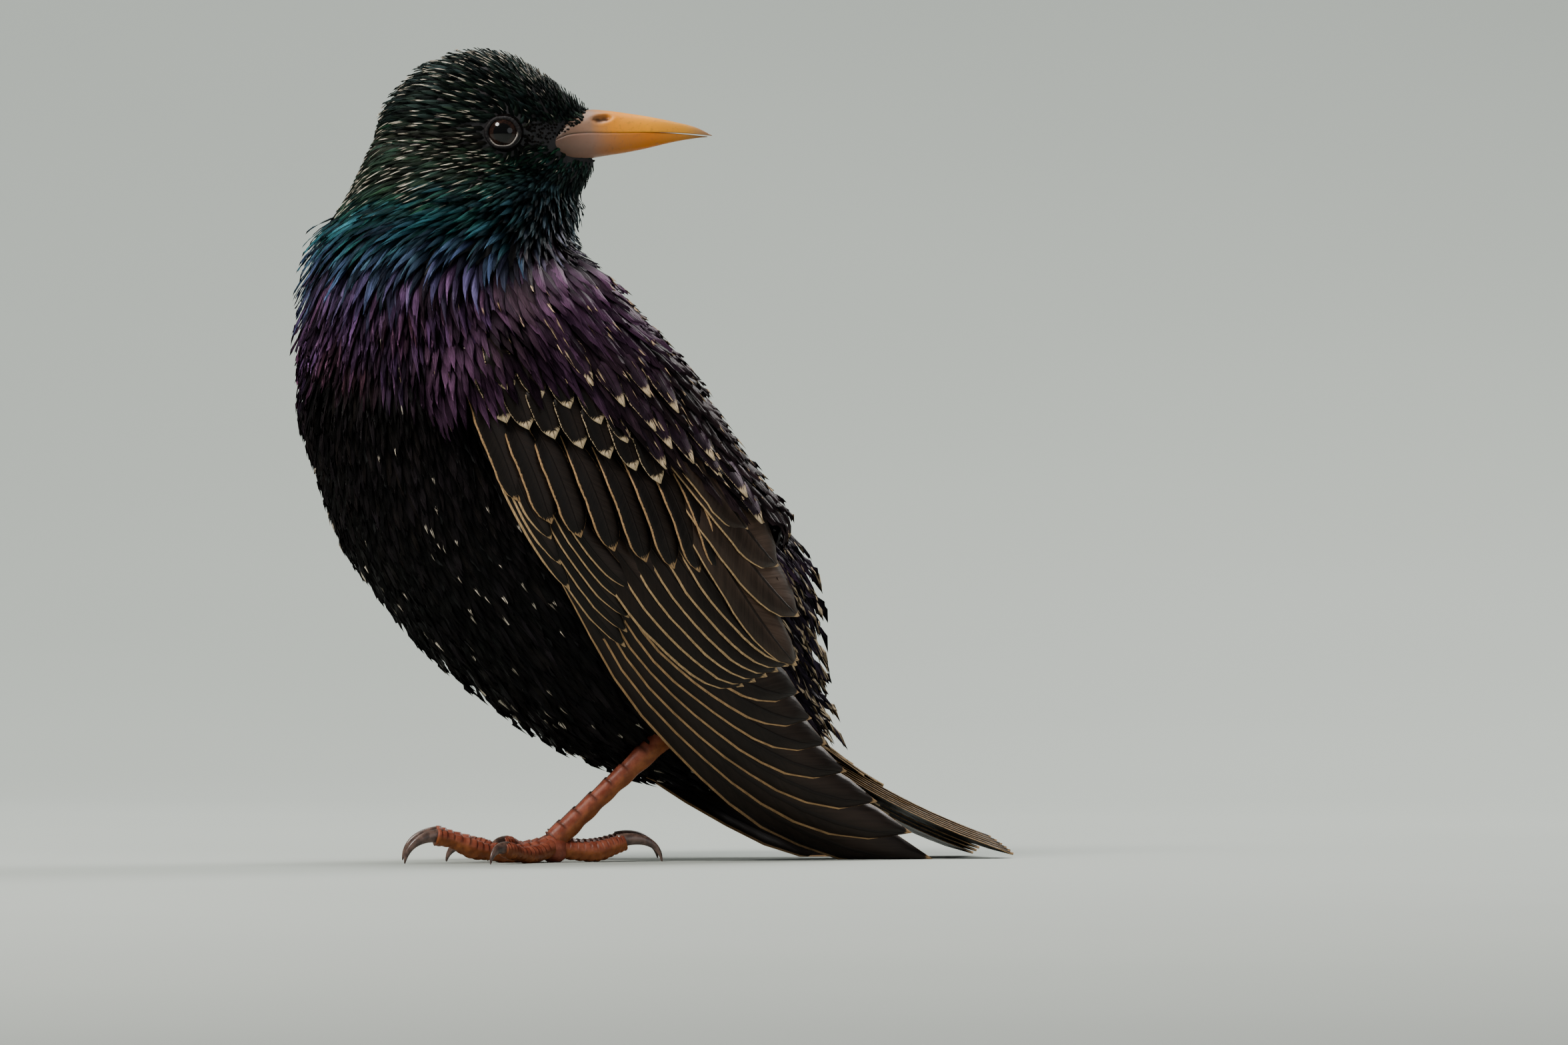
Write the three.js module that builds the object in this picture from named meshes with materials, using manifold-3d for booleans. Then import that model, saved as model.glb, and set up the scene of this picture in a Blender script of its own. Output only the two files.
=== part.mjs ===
// A common starling, life size, standing on the ground and looking back over its left shoulder.
// Millimetres, +Z up. The chest faces -X, the bird's left side faces -Y, and the floor is at Z = 0.
// The plumage is built on lofted sections. Wings, tail and hackles are vanes set on those surfaces.

import * as THREE from "three";
import { mergeVertices } from "three/addons/utils/BufferGeometryUtils.js";
import Module from "manifold-3d";

const wasm = await Module();
wasm.setup();

const RAD = Math.PI / 180;
const GAP = 0.3; // free space kept between nodes that touch
const VANE = 0.5; // thickness of a feather vane
const TIP_START = 0.7; // share of a vane's length where its tip begins to close

// Body sections down the middle plane: x, z, tilt of the section in degrees, half depth, half width
const NECK_TOP = [-22.5, 147, 0, 18, 12.5];
const TRUNK = [
  NECK_TOP,
  [-19.6, 136.8, 0, 25.5, 19],
  [-23, 127.1, 0, 27.5, 23.5],
  [-20.6, 115.3, 5, 32.6, 28],
  [-12.6, 96.6, 9, 41.5, 31.5],
  [-4, 77.8, 10, 44.9, 32.5],
  [4.5, 65, 12, 44.8, 32],
  [16.9, 49.7, 17, 39.5, 28.5],
];
const RUMP = [
  [29, 35.5, 24, 30, 21.5],
  [38.5, 24.5, 30, 19, 14],
  [45.5, 14.5, 36, 11, 9.5],
  [50.5, 7, 40, 5.5, 6],
];
// The folded wings lie on this outer surface, which runs on past the rump to the wing tips
const WING_TAPER = [
  [30, 34, 26, 32, 24],
  [39.5, 22, 33, 21, 19.5],
  [48, 8.5, 38, 15, 16.5],
  [60, -12, 40, 12, 14],
  [72, -30, 40, 12, 13],
];
const BODY = [...TRUNK, ...RUMP];
const MANTLE = [...TRUNK, ...WING_TAPER];

// The rear of the bird curves up so that tail and wing tips lie along the ground
const BEND_START = new THREE.Vector2(14.6, 54.5);
const BEND_ANGLE = 49.2; // below the horizontal
const BEND_CURVATURE = 0.0068; // radians per millimetre

// Head frame: forward, up and away from the camera's side
const HEAD_TURN = 20; // the bill points this far off +X, towards the bird's left
const HEAD_AT = new THREE.Vector3(-11.5, -2.5, 149.4); // midway between the eyes
const HEAD_FORWARD = new THREE.Vector3(Math.cos(HEAD_TURN * RAD), -Math.sin(HEAD_TURN * RAD), 0);
const HEAD_ACROSS = new THREE.Vector3(Math.sin(HEAD_TURN * RAD), Math.cos(HEAD_TURN * RAD), 0);
// Head sections: forward, top, bottom, half width
const SKULL = [
  [-25.5, 1, -7, 5],
  [-21.5, 8.5, -14, 9.6],
  [-15, 14.4, -17, 12.2],
  [-8, 17, -18, 12.8],
  [0, 17.2, -16.5, 11.4],
  [7, 13.8, -13, 9.1],
  [12, 10.4, -10.4, 5.8],
  [15.5, 7.7, -8, 4.1],
  [18.4, 5.2, -5.4, 2.2],
];
// Throat feathers that stand forward under the bill, in sections like the head's
const BEARD = [
  [2, -7, -17.5, 9.5],
  [7, -6, -17.5, 8.8],
  [11.5, -5.6, -16.5, 7.4],
  [15, -5.3, -14.3, 5.6],
  [18, -5, -10, 3.7],
  [19.8, -4.8, -6.6, 1.6],
];
const EYE_RADIUS = 4.4;
const EYE_OUT = 7.6; // centre of the eyeball, from the middle plane
const LID_RADIUS = 3.5;
const LID_TUBE = 0.55;

// Bill sections: forward, culmen, mouth line, keel, half width
const BILL = [
  [9, -0.6, -2.3, -5, 5.2],
  [13, 3.2, -0.4, -5.8, 4.9],
  [17, 4.9, 0.1, -5.2, 4.2],
  [21, 4.8, 0.1, -4.5, 3.5],
  [25.5, 4.2, 0.15, -3.8, 2.8],
  [30, 3.5, 0.25, -2.95, 2.1],
  [35, 2.5, 0.2, -1.95, 1.4],
  [39.5, 1.35, -0.1, -1.15, 0.85],
];
const BILL_TIP = [42.8, -0.4];
const LOWER_TIP = [41.6, -0.65];
const NOSTRIL = { forward: 20.1, up: 2.65, out: 3.2, long: 2.5, high: 0.95, deep: 1.1 };

// Cuts that part the body, each a point in the middle plane and the direction it faces
const HEAD_CUT = { x: -14, z: 138.2, tilt: 8 };
const NECK_CUT = { x: -18, z: 118.2, tilt: 8 };
const TAIL_CUT = { x: 44, z: 26, tilt: 57 };

// Left wing: the wrist, and the direction from there to the wing tip
const WRIST = new THREE.Vector2(-21.8, 90);
const WING_DIP = 51.5;
const WING_CORE = { length: 54, thick: 2.0, inner: -1.2 };
// Feather rows of a wing. Places are along and across the wing, from the wrist, first feather to last.
const WING_ROWS = [
  {
    count: 6, rootA: [27, -6], rootB: [37, 2], tipA: [131.5, 1], tipB: [92, 17],
    wide: [8.5, 10.5], lift: [0.3, 2.0, 1.6], shingle: 2.7, bow: -2.4, round: 0.5, steps: 5,
  },
  {
    count: 5, rootA: [30, 0], rootB: [34, 15], tipA: [77, 7], tipB: [85, 22],
    wide: [8.5, 9], lift: [0.3, 3.1, 2.9], shingle: 2.2, bow: -1.5, round: 0.8, steps: 4,
  },
  {
    count: 3, rootA: [27, 17.5], rootB: [26, 25], tipA: [80, 26], tipB: [54, 25],
    wide: [10, 9], lift: [0.4, 3.8, 3.6], shingle: 1.8, bow: 1, round: 0.7, steps: 4,
  },
  {
    count: 3, rootA: [7, -5], rootB: [12, -3], tipA: [51, -6.4], tipB: [46, -1.6],
    wide: [4.6, 5], lift: [0.3, 2.3, 3.4], shingle: 1.3, bow: -1.8, round: 0.6, steps: 4,
  },
  {
    count: 6, rootA: [-4, -0.5], rootB: [29, 24.5], tipA: [21, -7], tipB: [53, 18.5],
    wide: [7.6, 8.6], lift: [0.3, 3.3, 4.4], shingle: 1.4, bow: 0.6, round: 0.7, steps: 3,
  },
  {
    count: 5, rootA: [-8, 4.5], rootB: [16, 27], tipA: [5, 1.5], tipB: [30, 20.5],
    wide: [8, 8.6], lift: [0.3, 3.4, 5.0], shingle: 1.0, bow: 0.4, round: 0.9, steps: 3,
  },
];

// Tail: base in the middle plane, direction before the bend, and the fan of its feathers
const TAIL_BASE = new THREE.Vector2(38.8, 31.5);
const TAIL_DIP = 54.5;
const TAIL = { length: 66, notch: 2.5, pairs: 5, spreadRoot: 0.7, spreadTip: 2.35, wide: 7.6, drop: 0.8 };
const TAIL_ROOT = 17; // where the feathers leave the rump
const COVERTS = { pairs: 2, upper: 36, under: 44, wide: 6.5, spread: 4.2 };

// Hackles round the neck: rows of pointed locks, by height of root and tip, and width
const HACKLES = { count: 15, wide: 6.2, thick: 0.6, scatter: 0.9 };
const HACKLE_ROWS = [
  { root: 135, tip: 124.5, lift: [-0.8, 0.75, 1.3] },
  { root: 129, tip: 117.5, lift: [-0.8, 0.75, 1.3] },
  { root: 122.5, tip: 110, lift: [-0.8, 0.9, 1.4] },
];

// Legs. The right foot stands a little behind the left one.
const LEG_OUT = 13;
const RIGHT_FOOT_BACK = 9.4;
const ANKLE = new THREE.Vector3(20.4, -LEG_OUT, 26.3);
const FOOT = new THREE.Vector3(-4.2, -LEG_OUT, 4.4);
const FLOOR = { x: 0, z: 0, tilt: 0 };
// Radius of the leg at shares of the way from ankle to foot
const SHANK = [[0, 2.7], [0.12, 2.75], [0.3, 2.35], [0.55, 2.1], [0.8, 2.15], [0.92, 2.6], [1, 2.4]];
// Toes: heading from straight ahead, then along, height and radius at each joint, then claw reach
const TOES = [
  {
    name: "middle", heading: 3, claw: [7.5, 2.6],
    joints: [
      [0, 3.4, 2.3], [5, 2.3, 1.9], [10, 1.75, 2.0], [14, 2.1, 1.65],
      [18, 2.9, 2.1], [22.5, 4.6, 1.6], [26, 5.4, 1.9],
    ],
  },
  {
    name: "outer", heading: 38, claw: [5.4, 2.0],
    joints: [[0, 3.2, 2.1], [5, 2.1, 1.75], [9, 1.6, 1.9], [13, 1.9, 1.5], [16.5, 2.6, 1.8], [19, 2.9, 1.4]],
  },
  {
    name: "inner", heading: -33, claw: [5.4, 2.0],
    joints: [[0, 3.2, 2.1], [5, 2.1, 1.75], [9, 1.7, 1.95], [13, 2.6, 1.5], [16, 3.4, 1.75], [18, 3.5, 1.4]],
  },
  {
    name: "hind", heading: 176, claw: [8.6, 3.2],
    joints: [[0, 3.2, 2.2], [4.5, 2.3, 2.0], [9, 2.2, 2.2], [12.5, 3.2, 1.9], [15, 4.0, 1.7]],
  },
];

const MATERIALS = {
  plumage: { color: 0x17131a, roughness: 0.5, metalness: 0.2 },
  hackles: { color: 0x1d2a33, roughness: 0.4, metalness: 0.35 },
  flight: { color: 0x2a211c, roughness: 0.55, metalness: 0 },
  bill: { color: 0xe0a02c, roughness: 0.4, metalness: 0 },
  leg: { color: 0x9c4a38, roughness: 0.5, metalness: 0 },
  claw: { color: 0x5e4a44, roughness: 0.4, metalness: 0 },
  eye: { color: 0x1a0e0c, roughness: 0.05, metalness: 0 },
};

const bird = new THREE.Group();

// Solids

function solidOf(points, faces) {
  const vertProperties = new Float32Array(points.flatMap((p) => [p.x, p.y, p.z]));
  const made = (list) =>
    new wasm.Manifold(new wasm.Mesh({ numProp: 3, vertProperties, triVerts: new Uint32Array(list.flat()) }));
  const first = made(faces);
  return first.volume() > 0 ? first : made(faces.map(([a, b, c]) => [a, c, b]));
}

function solidOfGeometry(geometry) {
  const bare = geometry.clone();
  bare.deleteAttribute("normal");
  bare.deleteAttribute("uv");
  const merged = mergeVertices(bare, 1e-4);
  const position = merged.getAttribute("position");
  const points = [];
  for (let i = 0; i < position.count; i++) points.push(new THREE.Vector3().fromBufferAttribute(position, i));
  const faces = [];
  for (let i = 0; i < merged.index.count; i += 3) {
    faces.push([merged.index.getX(i), merged.index.getX(i + 1), merged.index.getX(i + 2)]);
  }
  return solidOf(points, faces);
}

// A closed skin over rings of equal count, with a point at the middle of each end
function loft(rings) {
  const count = rings[0].length;
  const points = rings.flat();
  const faces = [];
  for (let i = 0; i + 1 < rings.length; i++) {
    for (let j = 0; j < count; j++) {
      const k = (j + 1) % count;
      const [a, b, c, d] = [i * count + j, i * count + k, (i + 1) * count + k, (i + 1) * count + j];
      faces.push([a, b, c], [a, c, d]);
    }
  }
  for (const end of [0, rings.length - 1]) {
    const middle = new THREE.Vector3();
    for (const p of rings[end]) middle.addScaledVector(p, 1 / count);
    points.push(middle);
    const m = points.length - 1;
    for (let j = 0; j < count; j++) {
      const k = (j + 1) % count;
      faces.push(end === 0 ? [end * count + k, end * count + j, m] : [end * count + j, end * count + k, m]);
    }
  }
  return solidOf(points, faces);
}

// A round-sectioned limb through points with a radius at each
function limb(points, radii, around, grow = 0) {
  const rings = points.map((p, i) => {
    const ahead = points[Math.min(i + 1, points.length - 1)];
    const behind = points[Math.max(i - 1, 0)];
    const along = ahead.clone().sub(behind).normalize();
    const side = new THREE.Vector3(0, 1, 0).cross(along).normalize();
    const up = along.clone().cross(side);
    return Array.from({ length: around }, (_, j) => {
      const angle = (2 * Math.PI * (j + 0.5)) / around;
      return p
        .clone()
        .addScaledVector(side, (radii[i] + grow) * Math.cos(angle))
        .addScaledVector(up, (radii[i] + grow) * Math.sin(angle));
    });
  });
  return loft(rings);
}

function ball(radius, at, around, scale = new THREE.Vector3(1, 1, 1), turn = new THREE.Matrix4()) {
  const geometry = new THREE.SphereGeometry(radius, around, Math.round(around * 0.6));
  geometry.applyMatrix4(new THREE.Matrix4().makeScale(scale.x, scale.y, scale.z));
  geometry.applyMatrix4(turn);
  geometry.translate(at.x, at.y, at.z);
  return solidOfGeometry(geometry);
}

// Everything beyond a plane across the middle plane: tilt is the rise of the plane's line towards +X
function beyond(cut, shift) {
  const size = 400;
  const geometry = new THREE.BoxGeometry(size, size, size);
  geometry.translate(0, 0, size / 2 + shift);
  geometry.rotateY(-cut.tilt * RAD);
  geometry.translate(cut.x, 0, cut.z);
  return solidOfGeometry(geometry);
}

function joined(solids) {
  return wasm.Manifold.union(solids);
}

// The largest closed surface, with any sealed hollow filled
function largest(solid) {
  return solid.decompose().sort((a, b) => b.volume() - a.volume())[0];
}

function addNode(name, solid, material) {
  const mesh = largest(solid).getMesh();
  const geometry = new THREE.BufferGeometry();
  const position = new Float32Array(mesh.numVert * 3);
  for (let i = 0; i < mesh.numVert; i++) {
    position.set(mesh.vertProperties.subarray(i * mesh.numProp, i * mesh.numProp + 3), i * 3);
  }
  geometry.setAttribute("position", new THREE.BufferAttribute(position, 3));
  geometry.setIndex(new THREE.BufferAttribute(new Uint32Array(mesh.triVerts), 1));
  geometry.computeVertexNormals();
  const node = new THREE.Mesh(geometry, new THREE.MeshStandardMaterial(MATERIALS[material]));
  node.name = name;
  bird.add(node);
}

// Body surfaces

function smooth(a, b, c, d, t) {
  const slope = c - a;
  const square = 2 * a - 5 * b + 4 * c - d;
  const cube = 3 * b - a - 3 * c + d;
  return 0.5 * (2 * b + slope * t + square * t ** 2 + cube * t ** 3);
}

function sectionAt(sections, v) {
  const last = sections.length - 1;
  const i = Math.min(Math.max(Math.floor(v), 0), last - 1);
  const pick = (n) => sections[Math.min(Math.max(n, 0), last)];
  return pick(i).map((_, k) => smooth(pick(i - 1)[k], pick(i)[k], pick(i + 1)[k], pick(i + 2)[k], v - i));
}

function bend(point) {
  const dip = BEND_ANGLE * RAD;
  const rel = new THREE.Vector2(point.x, point.z).sub(BEND_START);
  const along = rel.x * Math.cos(dip) - rel.y * Math.sin(dip);
  const above = rel.x * Math.sin(dip) + rel.y * Math.cos(dip);
  if (along <= 0) return point;
  const turn = BEND_CURVATURE * along;
  const forward = Math.sin(turn) / BEND_CURVATURE - above * Math.sin(turn);
  const upward = (1 - Math.cos(turn)) / BEND_CURVATURE + above * Math.cos(turn);
  point.x = BEND_START.x + forward * Math.cos(dip) + upward * Math.sin(dip);
  point.z = BEND_START.y - forward * Math.sin(dip) + upward * Math.cos(dip);
  return point;
}

function bodyRing(section, around, grow) {
  const [x, z, tilt, deep, wide] = section;
  return Array.from({ length: around }, (_, j) => {
    const angle = (2 * Math.PI * j) / around;
    const q = (deep + grow) * Math.cos(angle);
    return bend(
      new THREE.Vector3(
        x + q * Math.cos(tilt * RAD),
        (wide + grow) * Math.sin(angle),
        z + q * Math.sin(tilt * RAD),
      ),
    );
  });
}

function bodyLoft(sections, stepsEach, around, grow = 0) {
  const rings = [];
  for (let i = 0; i <= (sections.length - 1) * stepsEach; i++) {
    rings.push(bodyRing(sectionAt(sections, i / stepsEach), around, grow));
  }
  return loft(rings);
}

function headPoint(forward, up, across) {
  return HEAD_AT.clone()
    .addScaledVector(HEAD_FORWARD, forward)
    .addScaledVector(HEAD_ACROSS, across)
    .add(new THREE.Vector3(0, 0, up));
}

function headLoft(sections, steps, around) {
  const rings = [];
  for (let i = 0; i <= (sections.length - 1) * steps; i++) {
    const [forward, top, bottom, wide] = sectionAt(sections, i / steps);
    rings.push(
      Array.from({ length: around }, (_, j) => {
        const angle = (2 * Math.PI * j) / around;
        const up = (top + bottom) / 2 + ((top - bottom) / 2) * Math.cos(angle);
        return headPoint(forward, up, wide * Math.sin(angle));
      }),
    );
  }
  return loft(rings);
}

// A place on the left wing: along and across from the wrist, and height above the mantle surface
function wingPoint(along, across, lift) {
  const dip = WING_DIP * RAD;
  const x = WRIST.x + along * Math.cos(dip) + across * Math.sin(dip);
  const z = WRIST.y - along * Math.sin(dip) + across * Math.cos(dip);
  return bend(mantlePoint(x, z, lift));
}

// The point of the mantle surface that shows at x, z from the bird's left, raised by lift
function mantlePoint(x, z, lift) {
  let low = 0;
  let high = MANTLE.length - 1;
  for (let i = 0; i < 40; i++) {
    const middle = (low + high) / 2;
    const [cx, cz, tilt] = sectionAt(MANTLE, middle);
    const past = (x - cx) * Math.sin(tilt * RAD) - (z - cz) * Math.cos(tilt * RAD);
    if (past > 0) low = middle;
    else high = middle;
  }
  const [cx, cz, tilt, deep, wide] = sectionAt(MANTLE, low);
  const q = (x - cx) * Math.cos(tilt * RAD) + (z - cz) * Math.sin(tilt * RAD);
  const cos = THREE.MathUtils.clamp(q / deep, -0.97, 0.97);
  const sin = Math.sqrt(1 - cos * cos);
  const normal = new THREE.Vector3(
    (cos / deep) * Math.cos(tilt * RAD),
    -sin / wide,
    (cos / deep) * Math.sin(tilt * RAD),
  ).normalize();
  return new THREE.Vector3(x, -wide * sin, z).addScaledVector(normal, lift);
}

// A flat closed strip between two edges that are given at each station, split alike on both faces
function strip(stations, place) {
  const points = [];
  for (const { left, right, leftLift, rightLift, thick } of stations) {
    points.push(place(left, leftLift + thick / 2), place(right, rightLift + thick / 2));
    points.push(place(left, leftLift - thick / 2), place(right, rightLift - thick / 2));
  }
  const faces = [];
  for (let i = 0; i + 1 < stations.length; i++) {
    const [a, b, c, d] = [4 * i, 4 * i + 1, 4 * i + 2, 4 * i + 3];
    const [e, f, g, h] = [a + 4, b + 4, c + 4, d + 4];
    faces.push([a, b, f], [a, f, e], [c, h, d], [c, g, h]);
    faces.push([a, e, g], [a, g, c], [b, d, h], [b, h, f]);
  }
  const z = 4 * (stations.length - 1);
  faces.push([0, 2, 3], [0, 3, 1], [z, z + 1, z + 3], [z, z + 3, z + 2]);
  return solidOf(points, faces);
}

// A feather vane from root to tip. place turns [along, across] and a lift into a point.
function vane({ root, tip, wide, lift, shingle = 0, bow = 0, round = 0.6, steps = 5, thick = VANE }, place) {
  const ahead = new THREE.Vector2(tip[0] - root[0], tip[1] - root[1]);
  const across = new THREE.Vector2(-ahead.y, ahead.x).normalize();
  const stations = Array.from({ length: steps + 1 }, (_, i) => {
    const u = 1 - (1 - i / steps) ** 1.25;
    const bulge = Math.min(1, 0.45 + 1.6 * u);
    const end = Math.max(0, (u - TIP_START) / (1 - TIP_START));
    const arch = Math.sqrt(Math.max(0, 1 - end ** 2 * (0.985 - 0.12 * round)));
    const half = Math.max(0.35, (wide / 2) * bulge * arch * (1 - (1 - round) * end));
    const sway = 4 * u * (1 - u) * bow;
    const middle = new THREE.Vector2(...root).addScaledVector(ahead, u).addScaledVector(across, sway);
    const height = u < 0.3
      ? THREE.MathUtils.lerp(lift[0], lift[1], u / 0.3)
      : THREE.MathUtils.lerp(lift[1], lift[2], (u - 0.3) / 0.7);
    const tilt = (shingle / 2) * Math.min(1, u * 3) * (half / (wide / 2));
    return {
      left: middle.clone().addScaledVector(across, -half),
      right: middle.clone().addScaledVector(across, half),
      leftLift: height + tilt,
      rightLift: height - tilt,
      thick,
    };
  });
  return strip(stations, place);
}

function mix(a, b, t) {
  return a.map((value, k) => THREE.MathUtils.lerp(value, b[k], t));
}

function wingVanes() {
  const place = (p, lift) => wingPoint(p.x, p.y, lift);
  return WING_ROWS.flatMap((row) =>
    Array.from({ length: row.count }, (_, i) => {
      const t = i / (row.count - 1);
      return vane(
        {
          ...row,
          root: mix(row.rootA, row.rootB, t),
          tip: mix(row.tipA, row.tipB, t),
          wide: THREE.MathUtils.lerp(row.wide[0], row.wide[1], t),
        },
        place,
      );
    }),
  );
}

// The arm and hand inside the folded wing: a thin blade let into the side of the body
function wingCore(grow, outward) {
  const stations = 8;
  const across = 5;
  const { length, thick, inner } = WING_CORE;
  const bottom = inner - grow;
  const top = inner + thick + outward;
  const grid = (lift) =>
    Array.from({ length: stations + 1 }, (_, i) => {
      const u = i / stations;
      const along = THREE.MathUtils.lerp(-6 - grow, length + grow, u);
      const low = -3 - 6.5 * Math.min(1, 2 * u) - grow;
      const high = 12 + 15 * Math.sin(Math.PI * Math.min(1, 0.15 + 0.85 * u)) + grow;
      return Array.from({ length: across + 1 }, (_, j) =>
        wingPoint(along, THREE.MathUtils.lerp(low, high, j / across), lift),
      );
    });
  const outer = grid(top);
  const innerGrid = grid(bottom);
  const points = [...outer.flat(), ...innerGrid.flat()];
  const half = outer.flat().length;
  const at = (i, j) => i * (across + 1) + j;
  const faces = [];
  for (let i = 0; i < stations; i++) {
    for (let j = 0; j < across; j++) {
      const [a, b, c, d] = [at(i, j), at(i, j + 1), at(i + 1, j + 1), at(i + 1, j)];
      faces.push([a, b, c], [a, c, d], [half + a, half + c, half + b], [half + a, half + d, half + c]);
    }
  }
  const rim = [];
  for (let j = 0; j < across; j++) rim.push(at(0, j));
  for (let i = 0; i < stations; i++) rim.push(at(i, across));
  for (let j = across; j > 0; j--) rim.push(at(stations, j));
  for (let i = stations; i > 0; i--) rim.push(at(i, 0));
  rim.forEach((a, n) => {
    const b = rim[(n + 1) % rim.length];
    faces.push([a, half + a, half + b], [a, half + b, b]);
  });
  return solidOf(points, faces);
}

// A place on the tail: along and across from its base, and height
function tailPoint(along, across, lift) {
  const dip = TAIL_DIP * RAD;
  return bend(
    new THREE.Vector3(
      TAIL_BASE.x + along * Math.cos(dip) + lift * Math.sin(dip),
      across,
      TAIL_BASE.y - along * Math.sin(dip) + lift * Math.cos(dip),
    ),
  );
}

function tailVanes() {
  const place = (p, lift) => tailPoint(p.x, p.y, lift);
  const vanes = [];
  for (const side of [-1, 1]) {
    for (let i = 0; i < TAIL.pairs; i++) {
      const height = -i * TAIL.drop - (side > 0 ? TAIL.drop / 2 : 0);
      vanes.push(
        vane(
          {
            root: [TAIL_ROOT, side * (0.8 + i * TAIL.spreadRoot)],
            tip: [
              TAIL.length - TAIL.notch * (1 - i / (TAIL.pairs - 1)),
              side * (2 + i * TAIL.spreadTip),
            ],
            wide: TAIL.wide,
            lift: [height * 0.8, height + 0.6, height],
            bow: side * 0.8,
            round: 0.75,
            steps: 4,
          },
          place,
        ),
      );
    }
  }
  for (const [reach, height, rise] of [
    [COVERTS.upper, 1.6, 1.1],
    [COVERTS.under, -6, -0.9],
  ]) {
    for (let i = -COVERTS.pairs; i <= COVERTS.pairs; i++) {
      vanes.push(
        vane(
          {
            root: [TAIL_ROOT - 4, i * 1.4],
            tip: [reach - Math.abs(i) * 4, i * COVERTS.spread * 0.6],
            wide: COVERTS.wide,
            lift: [
              height * 0.3,
              height + rise * 0.8 - Math.sign(height) * Math.abs(i) * 0.8,
              height - Math.sign(height) * Math.abs(i) * 0.8,
            ],
            round: 0.5,
            steps: 3,
          },
          place,
        ),
      );
    }
  }
  return vanes;
}

// The body, parted into head, neck, torso and rump with thin cuts
const plumage = joined([bodyLoft(BODY, 2, 28), headLoft(SKULL, 2, 20), headLoft(BEARD, 1, 12)]);

// Upper and lower bill meet at the mouth line
function mandible(upper, grow = 0) {
  const out = upper ? 1 : -1;
  const rings = BILL.map(([forward, culmen, mouth, keel, wide], i) => {
    const base = mouth + out * (GAP / 2 - grow);
    const edge = (upper ? culmen : keel) + out * grow;
    const along = i === 0 ? forward - grow : forward;
    const arch = Array.from({ length: 9 }, (_, j) => {
      const angle = (Math.PI * j) / 8;
      return headPoint(along, base + (edge - base) * Math.sin(angle), (wide + grow) * Math.cos(angle));
    });
    return [...arch, headPoint(along, base, -wide * 0.4), headPoint(along, base, wide * 0.4)];
  });
  const [tipForward, tipUp] = upper ? BILL_TIP : LOWER_TIP;
  const point = headPoint(tipForward, tipUp, 0);
  rings.push(rings.at(-1).map((p) => point.clone().lerp(p, 0.12)));
  return loft(rings);
}

function eyeCentre(side) {
  return headPoint(0, 0, side * EYE_OUT);
}

function lid(side) {
  const geometry = new THREE.TorusGeometry(LID_RADIUS, LID_TUBE, 5, 20);
  const basis = new THREE.Matrix4().makeBasis(HEAD_FORWARD, new THREE.Vector3(0, 0, 1), HEAD_ACROSS);
  const out = Math.sqrt(EYE_RADIUS ** 2 - LID_RADIUS ** 2) + 0.35;
  geometry.applyMatrix4(basis);
  const at = eyeCentre(side).addScaledVector(HEAD_ACROSS, side * out);
  geometry.translate(at.x, at.y, at.z);
  return solidOfGeometry(geometry);
}

const aboveHead = beyond(HEAD_CUT, GAP / 2);
const belowHead = beyond(HEAD_CUT, -GAP / 2);
const aboveNeck = beyond(NECK_CUT, GAP / 2);
const belowNeck = beyond(NECK_CUT, -GAP / 2);
const beforeTail = beyond(TAIL_CUT, GAP / 2);
const afterTail = beyond(TAIL_CUT, -GAP / 2);

let head = plumage.intersect(aboveHead).add(lid(-1)).add(lid(1));
for (const side of [-1, 1]) head = head.subtract(ball(EYE_RADIUS + GAP, eyeCentre(side), 16));
head = head.subtract(mandible(true, GAP)).subtract(mandible(false, GAP));
addNode("head", head, "hackles");
for (const [name, side] of [
  ["eye_right", -1],
  ["eye_left", 1],
]) {
  addNode(name, ball(EYE_RADIUS, eyeCentre(side), 14), "eye");
}

// A place on the neck: height of the section, angle round it from the front, and lift
function neckPoint(height, angle, lift) {
  let low = 0;
  let high = TRUNK.length - 1;
  for (let i = 0; i < 30; i++) {
    const middle = (low + high) / 2;
    if (sectionAt(TRUNK, middle)[1] > height) low = middle;
    else high = middle;
  }
  const [x, z, tilt, deep, wide] = sectionAt(TRUNK, low);
  const q = (deep + lift) * Math.cos(angle);
  return new THREE.Vector3(
    x + q * Math.cos(tilt * RAD),
    (wide + lift) * Math.sin(angle),
    z + q * Math.sin(tilt * RAD),
  );
}

// Uneven but repeatable, between -1 and 1
function uneven(n) {
  const wave = Math.sin(n * 12.9898) * 43758.5453;
  return 2 * (wave - Math.floor(wave)) - 1;
}

const hackles = HACKLE_ROWS.flatMap(({ root, tip, lift }, row) =>
  Array.from({ length: HACKLES.count }, (_, i) => {
    const angle = (2 * Math.PI * (i + (row % 2) / 2)) / HACKLES.count;
    const shift = uneven(row * 50 + i) * HACKLES.scatter;
    const place = (p, up) => neckPoint(root - p.x, angle + p.y / 25, up);
    return vane(
      {
        root: [0, 0],
        tip: [root - tip + shift, shift * 0.8],
        wide: HACKLES.wide,
        lift,
        round: 0.25,
        steps: 2,
        thick: HACKLES.thick,
      },
      place,
    );
  }),
);
const shoulders = bodyLoft(BODY, 2, 28, 1.5 * GAP).subtract(aboveNeck);
addNode(
  "neck",
  joined([plumage.intersect(aboveNeck), ...hackles]).subtract(belowHead).subtract(shoulders),
  "hackles",
);

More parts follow.
